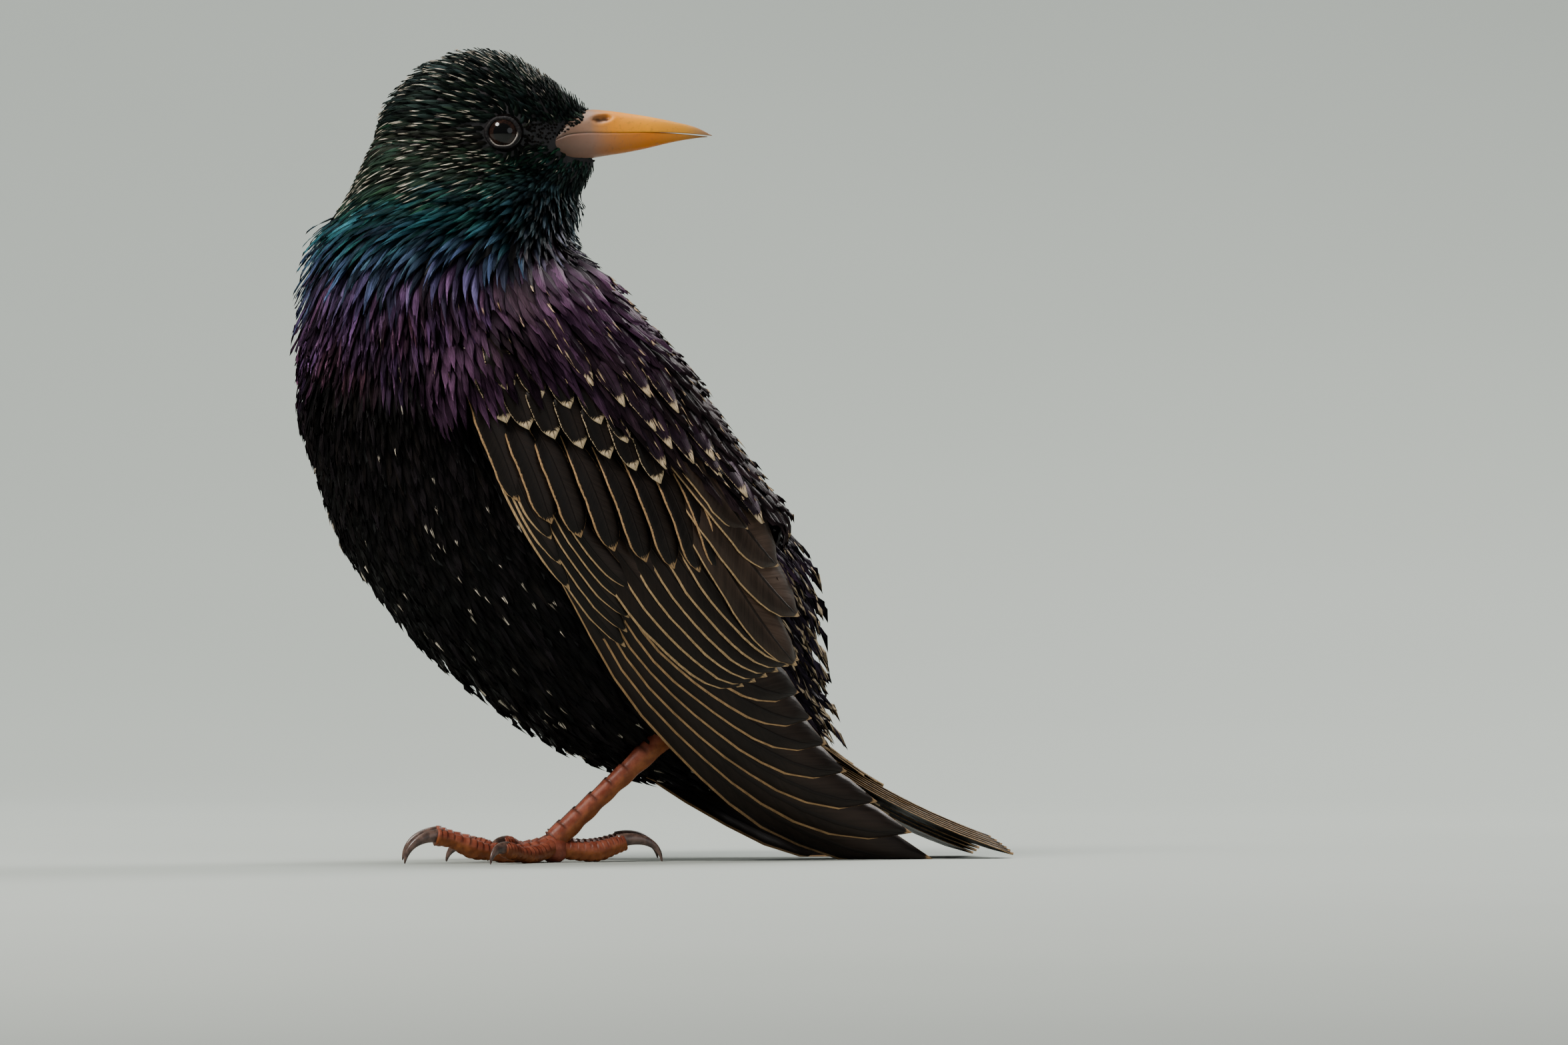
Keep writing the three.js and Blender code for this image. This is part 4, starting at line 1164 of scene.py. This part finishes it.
def rump_look(pts, angle):
    """Rump feathers that stand away over the tail, with pale hair-like tips."""
    f, r = base_look(pts, angle)
    f.length = 11 + 7 * r[0]
    f.width = 1.5 + 1.0 * r[4]
    f.point = 0.95
    f.fray = 0.45
    f.tip = 1.5 + 4.8 * r[1] ** 1.5
    f.curl = 1.1
    f.turn = (r[2] - 0.5) * 0.4
    f.gloss = 0.4
    spots(f, r[3] < 0.8, 0.20 + 0.10 * r[4], (0.62, 0.47, 0.31), 0.6, 0.6, r)
    f.spot_wide = 0.9
    return f


# Where each coat grows and how close its feathers stand


def above_head_edge(p):
    """Height over the head's lower edge, which runs level with the bill."""
    f, u, _a = head_frame(p)
    return u + 12.5 - 0.12 * f


def is_head(p):
    return (above_head_edge(p) > 0) & ~near_eye(p) & ~on_bill(p)


def is_neck(p):
    return (above_head_edge(p) <= 0) & (p[:, 2] > 115)


def is_under_wing(p):
    s, t, _rise, far = wing_place(p)
    return (far < 9) & (s > -4) & (t > 0) & (t < 27) & (s < 62)


SCAPULAR_EDGE = [(-17, 12), (4, 16.5), (13, 19.5), (26, 21.5), (38, 25), (48, 29), (60, 34), (66, 38)]


def is_drape(p):
    """The mantle, the scapulars over the wing's top and the breast feathers over the wrist."""
    s, t, rise, far = wing_place(p)
    hidden = (far > 1.2) & (rise > -2.4) & (t > -3) & (t < 36)
    upper = t > np.interp(s + 11, *np.array(SCAPULAR_EDGE).T)
    wrist = (s < -9 + 0.35 * t) & (t > -9)
    on_back = (backness(p) > 0.0) & (p[:, 2] > 42)
    return ((upper & on_back) | (wrist & (far < 1.2) & (t < 30))) & ~hidden & (p[:, 2] < 124)


def is_body(p):
    return (p[:, 2] <= 116) & ~is_under_wing(p) & ~((backness(p) > 0.3) & (p[:, 2] > 48))


def is_rump(p):
    v, angle, _lie = body_place(p)
    return (np.cos(angle) > 0.55) & (v > 6.2) & (v < 9.2)


def head_gap(p):
    return 0.92 - 0.36 * ramp(head_frame(p)[0], -10, 10)


def neck_gap(p):
    f, u, _a = head_frame(p)
    throat = ramp(f, 2, 8) * ramp(u, -30, -22)
    return (1.05 + 0.5 * ramp(p[:, 2], 136, 118)) * (1 - 0.35 * throat)


def body_gap(p):
    return 1.25 + 0.1 * ramp(p[:, 2], 100, 80)


def even(gap):
    return lambda p: np.full(len(p), gap)


coat("head_feathers", scatter(head_gap, is_head, FACE), head_look, 4, "head_plumage", FACE)
coat("neck_hackles", scatter(neck_gap, is_neck), neck_look, 6, "hackles")
body_roots = scatter(body_gap, is_body)
coat("body_feathers_left", body_roots[body_roots[:, 1] < 0], body_look, 5)
coat("body_feathers_right", body_roots[body_roots[:, 1] >= 0], body_look, 5)
coat("mantle_feathers", scatter(even(2.0), is_drape, DRAPE), drape_look, 6, surface=DRAPE)
coat("rump_feathers", scatter(even(1.5), is_rump), rump_look, 6)


# Wing and tail vanes

VANE_ROWS = 12
VANE_ACROSS = 6
VANE_THICK = 0.16
KNEE = 0.3


def vane_shells(count, rows, cols):
    """Quads of count flat boxes, each an upper grid, a lower one and the strip round them."""
    per = rows * cols
    upper = grid_faces(1, rows, cols)
    index = np.arange(per).reshape(rows, cols)
    rim = np.concatenate([index[0, :-1], index[:-1, -1], index[-1, :0:-1], index[:0:-1, 0]])
    after = np.roll(rim, -1)
    strip = np.stack([rim, after, after + per, rim + per], -1)
    shell = np.concatenate([upper, upper[:, ::-1] + per, strip])
    return (shell[None] + (np.arange(count) * 2 * per)[:, None, None]).reshape(-1, 4)


def vane_bake(vane):
    """The bake's map: a grid of cells, one for each feather, upper face beside lower."""
    n = len(vane)
    across_cells = math.ceil(math.sqrt(n * 3))
    down_cells = math.ceil(n / across_cells)
    cell = np.arange(n)[:, None, None]
    bake = np.empty_like(vane)
    for face in (0, 1):
        u, v = vane[:, face, ..., 0], vane[:, face, ..., 1]
        bake[:, face, ..., 0] = (cell % across_cells + 0.05 + 0.45 * (face + 0.92 * u)) / across_cells
        bake[:, face, ..., 1] = (cell // across_cells + 0.04 + 0.92 * v) / down_cells
    return bake


def big_vanes(name, place, feathers, node, mirror=False):
    """Large vanes of the left side or, mirrored, of the right, from places on the wing or the tail."""
    n, rows, cols = len(feathers), VANE_ROWS + 1, VANE_ACROSS + 1

    def column(key):
        return np.array([feather[key] for feather in feathers], float)

    def wide_column(key):
        return column(key)[:, None]

    root, ahead = column("root"), column("tip") - column("root")
    side = unit(np.stack([-ahead[:, 1], ahead[:, 0]], -1))
    wide, point, start = wide_column("wide"), wide_column("point"), wide_column("close")
    u = np.linspace(0, 1, rows)[None] ** 0.9
    swell = np.minimum(1, 0.4 + 1.8 * u)
    close = np.clip((u - start) / (1 - start), 0, 1)
    ends = np.sqrt(np.maximum(0, 1 - close**2)) * (1 - point) + (1 - close) ** 0.8 * point
    half = np.maximum(wide / 2 * swell * ends, 0.12)[..., None]
    sway = 4 * u * (1 - u) * wide_column("bow")
    mid = root[:, None] + ahead[:, None] * u[..., None] + side[:, None] * sway[..., None]
    foot, knee, end = (column("lift")[:, k, None] for k in range(3))
    rise = foot + (knee - foot) * u / KNEE
    height = np.where(u < KNEE, rise, knee + (end - knee) * (u - KNEE) / (1 - KNEE))
    # the outline is ragged by a little, and its corners fall back
    c = np.linspace(-1, 1, cols)
    jag = RNG.normal(0, 1, (n, rows, cols))
    across = c * half * (1 + 0.02 * jag * (np.abs(c) > 0.99))
    back = 0.25 * np.abs(c) ** 1.5 * half * ramp(u, 0.6, 1)[..., None]
    at = mid[:, :, None] + side[:, None, None] * across[..., None]
    at = at - unit(ahead)[:, None, None] * back[..., None]
    tilt = -(wide_column("shingle") / wide)[..., None] * np.minimum(1, u * 3)[..., None] * across
    camber = 0.05 * wide[..., None] * (1 - c**2)
    lift = height[..., None] + tilt + camber + 0.015 * jag
    top = place(at[..., 0], at[..., 1], lift) * (MIRROR if mirror else 1)
    under = place(at[..., 0], at[..., 1], lift - VANE_THICK) * (MIRROR if mirror else 1)
    top[..., 2] = np.maximum(top[..., 2], 2 * FEATHER_GAP)
    under[..., 2] = np.maximum(under[..., 2], FEATHER_GAP)
    vane = np.empty((n, 2, rows, cols, 2))
    vane[..., 0] = (c + 1) / 2
    vane[..., 1] = u[:, None, :, None]
    each = 2 * rows * cols
    tint = column("tint") * (0.85 + 0.3 * RNG.random(n))[:, None]
    vanes = add_mesh(
        name,
        np.stack([top, under], 1),
        vane_shells(n, rows, cols)[:, :: -1 if mirror else 1],
        FLIGHT,
        {"Vane": vane, "OFBake": vane_bake(vane)},
        {
            "tint": np.repeat(np.concatenate([tint, wide_column("gloss")], 1), each, 0),
            "mark": np.repeat(np.concatenate([column("mark"), wide_column("edge")], 1), each, 0),
        },
        {
            "spot": np.repeat(column("fringe"), each),
            "shaft": np.repeat(column("shaft"), each),
            "rag": np.repeat(column("rag"), each),
            "seed": np.repeat(RNG.random(n), each),
        },
    )
    keep(vanes, "flight_feathers", node)


DARK = (0.011, 0.0075, 0.006)
BROWN = (0.019, 0.012, 0.009)
SATIN = (0.050, 0.030, 0.021)
BUFF = (0.50, 0.32, 0.16)
TAN = (0.42, 0.25, 0.12)
CREAM = (0.70, 0.52, 0.32)
PLUM = (0.026, 0.013, 0.022)

# Each kind of feather: its tilt over the next, how pointed it is and where its end begins, the place of its
# shaft, the widths of the pale edge and fringe, colours of ground and edge, gloss, and raggedness of the edge
STYLE = ("shingle", "point", "close", "shaft", "edge", "fringe", "tint", "mark", "gloss", "rag")
KINDS = {
    "primary": (2.2, 0.35, 0.82, 0.28, 0.042, 0.012, BROWN, TAN, 0.25, 0.012),
    "secondary": (2.0, 0.12, 0.80, 0.34, 0.048, 0.02, BROWN, BUFF, 0.3, 0.03),
    "tertial": (1.8, 0.2, 0.70, 0.42, 0.028, 0.018, SATIN, BUFF, 0.15, 0.02),
    "primary_covert": (1.2, 0.4, 0.75, 0.35, 0.07, 0.02, DARK, BUFF, 0.2, 0.02),
    "alula": (1.0, 0.45, 0.65, 0.35, 0.10, 0.03, DARK, BUFF, 0.2, 0.04),
    "greater": (1.7, 0.25, 0.78, 0.45, 0.06, 0.04, DARK, TAN, 0.15, 0.09),
    "median": (1.0, 0.3, 0.62, 0.5, 0.012, 0.10, DARK, CREAM, 0.3, 0.16),
    "lesser": (0.6, 0.3, 0.55, 0.5, 0.01, 0.11, DARK, CREAM, 0.3, 0.2),
    "scapular": (0.4, 0.75, 0.45, 0.5, 0.008, 0.15, PLUM, CREAM, 0.45, 0.22),
    "tail": (0, 0.12, 0.88, 0.5, 0.03, 0.012, BROWN, TAN, 0.3, 0.01),
    "tail_covert": (0, 0.3, 0.6, 0.5, 0.07, 0.05, BROWN, BUFF, 0.3, 0.05),
}
PRIMARY_TIPS = [(131.7, -1.2), (125.5, 2.0), (116, 4.6), (107, 6.8), (100, 9.2), (94, 11.6), (88, 14)]
GREATER_TIPS = [(15, -7), (23.5, -4.5), (30, -1.0), (38, 3.6), (44, 8), (49, 12.5), (53, 17), (55, 20)]
MEDIAN_TIPS = [(0.5, 0.5), (5, 3.5), (11, 7), (17, 11), (23.5, 14.5), (30, 17.5)]
LESSER_TIPS = [(-4, 5), (1, 8.5), (6, 12), (12.5, 15), (19, 17)]
SCAPULAR_TIPS = [
    (51, 29.5), (44, 30), (37.5, 28), (33.5, 29), (31, 25), (25.5, 23),
    (28, 19.5), (20.5, 22.5), (21, 29), (14.5, 26), (12.5, 20.5), (5, 18),
]
# Tertials: root, tip, width
TERTIALS = [
    ((30, 20), (83, 17), 9.5),
    ((28, 22), (76, 24.5), 11),
    ((26, 25), (63, 28), 11),
    ((22, 26), (50, 27), 10),
]
# Covert rows: kind, places of the tips, count, root from tip, width, bow, lifts of the first and the last
COVERTS = [
    ("greater", GREATER_TIPS, 9, (-25, 7.0), 5.8, 0.6, (0.4, 2.7, 3.0), (0.4, 2.8, 3.0)),
    ("median", MEDIAN_TIPS, 7, (-14, 4.6), 5.8, 0.3, (0.4, 3.1, 3.5), (0.4, 3.1, 3.5)),
    ("lesser", LESSER_TIPS, 5, (-11, 3.4), 5.2, 0.2, (0.3, 3.2, 3.7), (0.3, 3.2, 3.7)),
]


def feather(kind, root, tip, wide, bow, lift, **other):
    """A vane from root to tip, with its greatest width, its bow and its height at root, knee and tip."""
    style = dict(zip(STYLE, KINDS[kind]), root=root, tip=tip, wide=wide, bow=bow, lift=lift)
    return {**style, **other}


def shares(count):
    return [i / (count - 1) for i in range(count)]


def lerp(a, b, t):
    return tuple(x + (y - x) * t for x, y in zip(a, b))


def pick(points, t):
    """A place on a line through points, t from 0 to 1."""
    place = t * (len(points) - 1)
    return tuple(np.interp(place, np.arange(len(points)), numbers) for numbers in zip(*points))


def wing_feathers():
    """Feathers from the outermost primary inward and up, each over the ones before it."""
    out = []
    for t, tip in zip(shares(7), PRIMARY_TIPS):
        lift = (0.2, 1.2 + 0.3 * t, 0.9)
        out.append(feather("primary", lerp((26, -7.2), (36, 2), t), tip, 8.6 + 1.4 * t, -2.6 + 0.6 * t, lift))
    for t in shares(6):
        root, tip = lerp((30, 0), (34, 16), t), lerp((76, 6.5), (83, 18.5), t)
        out.append(feather("secondary", root, tip, 8.2, -1.2, (0.3, 2.1 + 0.2 * t, 1.9)))
    for i, (root, tip, wide) in enumerate(TERTIALS):
        out.append(feather("tertial", root, tip, wide, 0.8, (0.6, 2.7 + 0.3 * i, 2.6 + 0.3 * i)))
    for t in shares(5):
        root, tip = lerp((12, -6), (18, 0), t), lerp((53, -6.5), (44, 0.8), t)
        out.append(feather("primary_covert", root, tip, 4.0, -1.2, (0.3, 1.9 + 0.2 * t, 2.2)))
    for t in shares(3):
        root, tip = lerp((2, -4.4), (6, -2.4), t), lerp((36, -9.2), (25, -6.6), t)
        out.append(feather("alula", root, tip, 4.2, -0.8, (0.4, 2.5 + 0.3 * t, 2.6)))
    for kind, tips, count, step, wide, bow, first, last in COVERTS:
        for t in shares(count):
            tip = pick(tips, t)
            out.append(feather(kind, np.add(tip, step), tip, wide, bow, lerp(first, last, t)))
    for i, tip in enumerate(SCAPULAR_TIPS):
        lift = (1.5, 4.3, 5.2 + 0.2 * (i % 2))
        out.append(feather("scapular", np.add(tip, (-13, 2.5)), tip, 4.4, 0.3, lift))
    return out


def tail_feathers():
    """Six feathers a side, the middle ones on top, and rows of coverts above and below them."""
    out = []
    for side in (-1, 1):
        for i, t in enumerate(shares(6)):
            root = (14, side * (0.6 + 0.5 * i))
            tip = (65.5 - 2.2 * (1 - t) ** 2, side * (2.2 + 1.9 * i))
            lift = -i * 0.55 - (0.27 if side > 0 else 0)
            lifts = (lift * 0.6, lift + 0.5, lift)
            out.append(feather("tail", root, tip, 7.4, side * 0.6, lifts, shaft=0.5 + side * (0.1 + 0.2 * t)))
    for height, sign, count, reach, mark in ((1.4, 1, 7, 38, BUFF), (-4.6, -1, 9, 44, CREAM)):
        for k in range(2):
            for i in range(count):
                across = (i - (count - 1) / 2) / ((count - 1) / 2)
                root = (8 - 3 * k, across * 4.5)
                tip = (reach - 8 * k - 7 * across**2, across * (6.5 - k))
                lift = height + sign * (0.6 * k - 1.1 * across**2)
                lifts = (height * 0.3, lift + sign * 0.3, lift)
                out.append(feather("tail_covert", root, tip, 6, 0, lifts, mark=mark))
    return out


big_vanes("wing_left_feathers", wing_point, wing_feathers(), "wing_left")
big_vanes("wing_right_feathers", wing_point, wing_feathers(), "wing_right", mirror=True)
big_vanes("tail_feathers", tail_point, tail_feathers(), "tail")

# Eyes and lids


def eye(side, name):
    rows, cols = 40, 64
    off = np.linspace(0.02, math.pi - 0.02, rows)[:, None]
    turn = circle(cols)[None]
    r = EYE_RADIUS * (1 + 0.035 * np.exp(-((off / 0.55) ** 2)))
    f, u = r * np.sin(off) * np.cos(turn), r * np.sin(off) * np.sin(turn)
    pts = head_point(f, u, side * (EYE_OUT + r * np.cos(off) + 0 * turn))
    faces, caps = tube_faces(rows, cols, side)
    look = np.sin(np.minimum(off, math.pi / 2)) + 0 * turn
    keep(add_mesh(name + "_ball", pts, faces, EYE, values={"look": look}, caps=caps), "eye", name)


def lid(side, name):
    """A ring of bare skin round the eye, slightly almond shaped, with a beaded rolled edge."""
    rows, cols = 96, 14
    a, b = circle(rows)[:, None], circle(cols)[None]
    roll = 0.42 + 0.08 * np.cos(a) ** 2 + 0.03 * np.sin(a * 30)
    r = LID_RADIUS * (1 + 0.07 * np.cos(2 * a) ** 3) + roll * np.cos(b)
    out = EYE_OUT + math.sqrt(EYE_RADIUS**2 - LID_RADIUS**2) + 0.20 + roll * np.sin(b)
    pts = head_point(r * np.cos(a), r * np.sin(a), side * out)
    quads = grid_faces(1, rows + 1, cols, True) % (rows * cols)
    pale = ramp(np.cos(b), -0.35, -0.75) * ramp(np.sin(b), -0.5, 0.1) * ramp(np.sin(a - 0.2), -0.1, -0.45)
    keep(add_mesh(name + "_lid", pts, quads[:, ::side], LID, values={"pale": pale}), "head_plumage")


for name, side in (("eye_right", -1), ("eye_left", 1)):
    eye(side, name)
    lid(side, name)

# Legs, toes and claws

# Each toe: heading in degrees, claw length and curve, and its joints by distance, height and radius
TOES = {
    "middle": (3, 7.5, 2.6, [
        (0, 3.4, 2.3), (5, 2.3, 1.9), (10, 1.75, 2.0), (14, 2.1, 1.65),
        (18, 2.9, 2.1), (22.5, 4.6, 1.6), (26, 5.4, 1.9),
    ]),
    "outer": (38, 5.4, 2.0, [
        (0, 3.2, 2.1), (5, 2.1, 1.75), (9, 1.6, 1.9), (13, 1.9, 1.5), (16.5, 2.6, 1.8), (19, 2.9, 1.4),
    ]),
    "inner": (-33, 5.4, 2.0, [
        (0, 3.2, 2.1), (5, 2.1, 1.75), (9, 1.7, 1.95), (13, 2.6, 1.5), (16, 3.4, 1.75), (18, 3.5, 1.4),
    ]),
    "hind": (176, 8.6, 3.2, [
        (0, 3.2, 2.2), (4.5, 2.3, 2.0), (9, 2.2, 2.2), (12.5, 3.2, 1.9), (15, 4.0, 1.7),
    ]),
}
SIDEWAYS = np.array([0.0, 1.0, 0.0])
NEARLY_UP = UP + 0.001
SHANK_RADII = [2.7, 2.7, 2.2, 2.0, 2.15, 2.5]


def foot_point(s, heading, height, side):
    """A place s along a toe that points to heading, at a height over the floor."""
    back = RIGHT_FOOT_BACK if side > 0 else 0
    a = heading * RAD * side
    return np.stack([FOOT[0] + back - s * math.cos(a), side * LEG_OUT + s * math.sin(a), height + 0 * s], -1)


def frame_along(path, reference):
    """Side and up vectors along a path."""
    ahead = unit(np.gradient(path, axis=0))
    side = unit(np.cross(reference, ahead))
    return side, np.cross(ahead, side)


def limb(path, radii, around, scutes, front_way, flat=True):
    """A scaly limb along a smooth path; scutes is how many plates lie along the side that faces front_way."""
    rows = len(radii[0])
    pts = along(np.array(path, float), np.linspace(0, 1, rows) * (len(path) - 1))
    side, up = frame_along(pts, NEARLY_UP if flat else SIDEWAYS)
    a = circle(around)[None]
    phase = np.linspace(0, 1, rows)[:, None] * scutes
    saw = phase - np.floor(phase)
    front = np.cos(a) * (side @ front_way)[:, None] + np.sin(a) * (up @ front_way)[:, None]
    plate = ramp(front, -0.1, 0.5)
    pads = 0.10 * np.sin(phase * TURN * 0.9 + 4 * np.cos(a)) * ramp(-front, 0.1, 0.7)
    grow = (0.5 - saw) * 0.28 * plate + pads
    rings = tube(pts, side, up, radii[0][:, None] + grow, radii[1][:, None] + grow)
    groove = np.exp(-((np.minimum(saw, 1 - saw) / 0.09) ** 2)) * plate
    return rings.reshape(-1, 3), *tube_faces(rows, around), groove, front


def toe(joints, heading, side):
    joints = np.array(joints, float)
    radius = along(joints, np.linspace(0, 1, 96) * (len(joints) - 1))[:, 2]
    path = foot_point(joints[:, 0], heading, joints[:, 1], side)
    return limb(path, (radius * 0.92, radius * 0.95), 28, len(joints) * 2.4, UP)


def claw(name, joints, heading, side, length, curve):
    rows, around = 28, 20
    last, last_height, _radius = joints[-1]
    u = np.linspace(0, 1, rows)
    height = (last_height + 0.2) * (1 - u) + curve * 4 * u * (1 - u) * 0.62
    path = foot_point(last - 1.4 + (length + 0.8) * np.sin(u * math.pi / 2.15), heading, height, side)
    radius = (1.25 * (1 - u) ** 0.75 + 0.12)[:, None] + np.zeros((1, around))
    rings = tube(path, *frame_along(path, UP), radius * 0.72, radius * 1.05)
    rings[..., 2] = np.maximum(rings[..., 2], SOLE_GAP)
    faces, caps = tube_faces(rows, around)
    keep(add_mesh(name + "_horn", rings, faces, CLAW, caps=caps), "claw", name)


def knuckle(foot):
    """The ball where the toes meet."""
    a, b = np.linspace(0, math.pi, 20)[:, None], circle(24)[None]
    ball = np.stack([np.sin(a) * np.cos(b), np.sin(a) * np.sin(b) * 0.9, np.cos(a) + 0 * b], -1)
    ball = foot * [1, 1, 0] + [0, 0, 2.75] + 3.0 * ball.reshape(-1, 3)
    return ball, grid_faces(1, 20, 24, True), [], np.zeros((20, 24)), np.ones((20, 24))


def leg_piece(name, parts):
    """One piece from several parts, each its points, quads, end caps, grooves and how far it faces front."""
    pts, quads, caps = joined(parts)
    groove, front = (np.concatenate([part[k].ravel() for part in parts]) for k in (3, 4))
    pts[:, 2] = np.maximum(pts[:, 2], SOLE_GAP)
    values = {"groove": groove, "front": front}
    keep(add_mesh(name + "_skin", pts, quads, LEG, values=values, caps=caps), "leg_skin", name)


for label, side in (("left", -1), ("right", 1)):
    back = np.array([RIGHT_FOOT_BACK if side > 0 else 0, 0, 0])
    flip = np.array([1, -side, 1])
    ankle, foot = ANKLE * flip + back, FOOT * flip + back
    path = [ankle * (1 - k) + foot * k for k in (-0.10, 0, 0.3, 0.55, 0.8, 1)]
    radius = np.interp(np.linspace(0, 1, 160), np.linspace(0, 1, len(SHANK_RADII)), SHANK_RADII)
    down = unit(foot - ankle)
    shin = np.array([down[2], 0, -down[0]])
    leg_piece(f"tarsus_{label}", [limb(path, (radius * 0.98, radius * 0.86), 40, 9, shin, flat=False)])
    toes = []
    for name, (heading, length, curve, joints) in TOES.items():
        toes.append(toe(joints, heading, side))
        claw(f"claw_{label}_{name}", joints, heading, side, length, curve)
    leg_piece(f"foot_{label}", [*toes, knuckle(foot)])
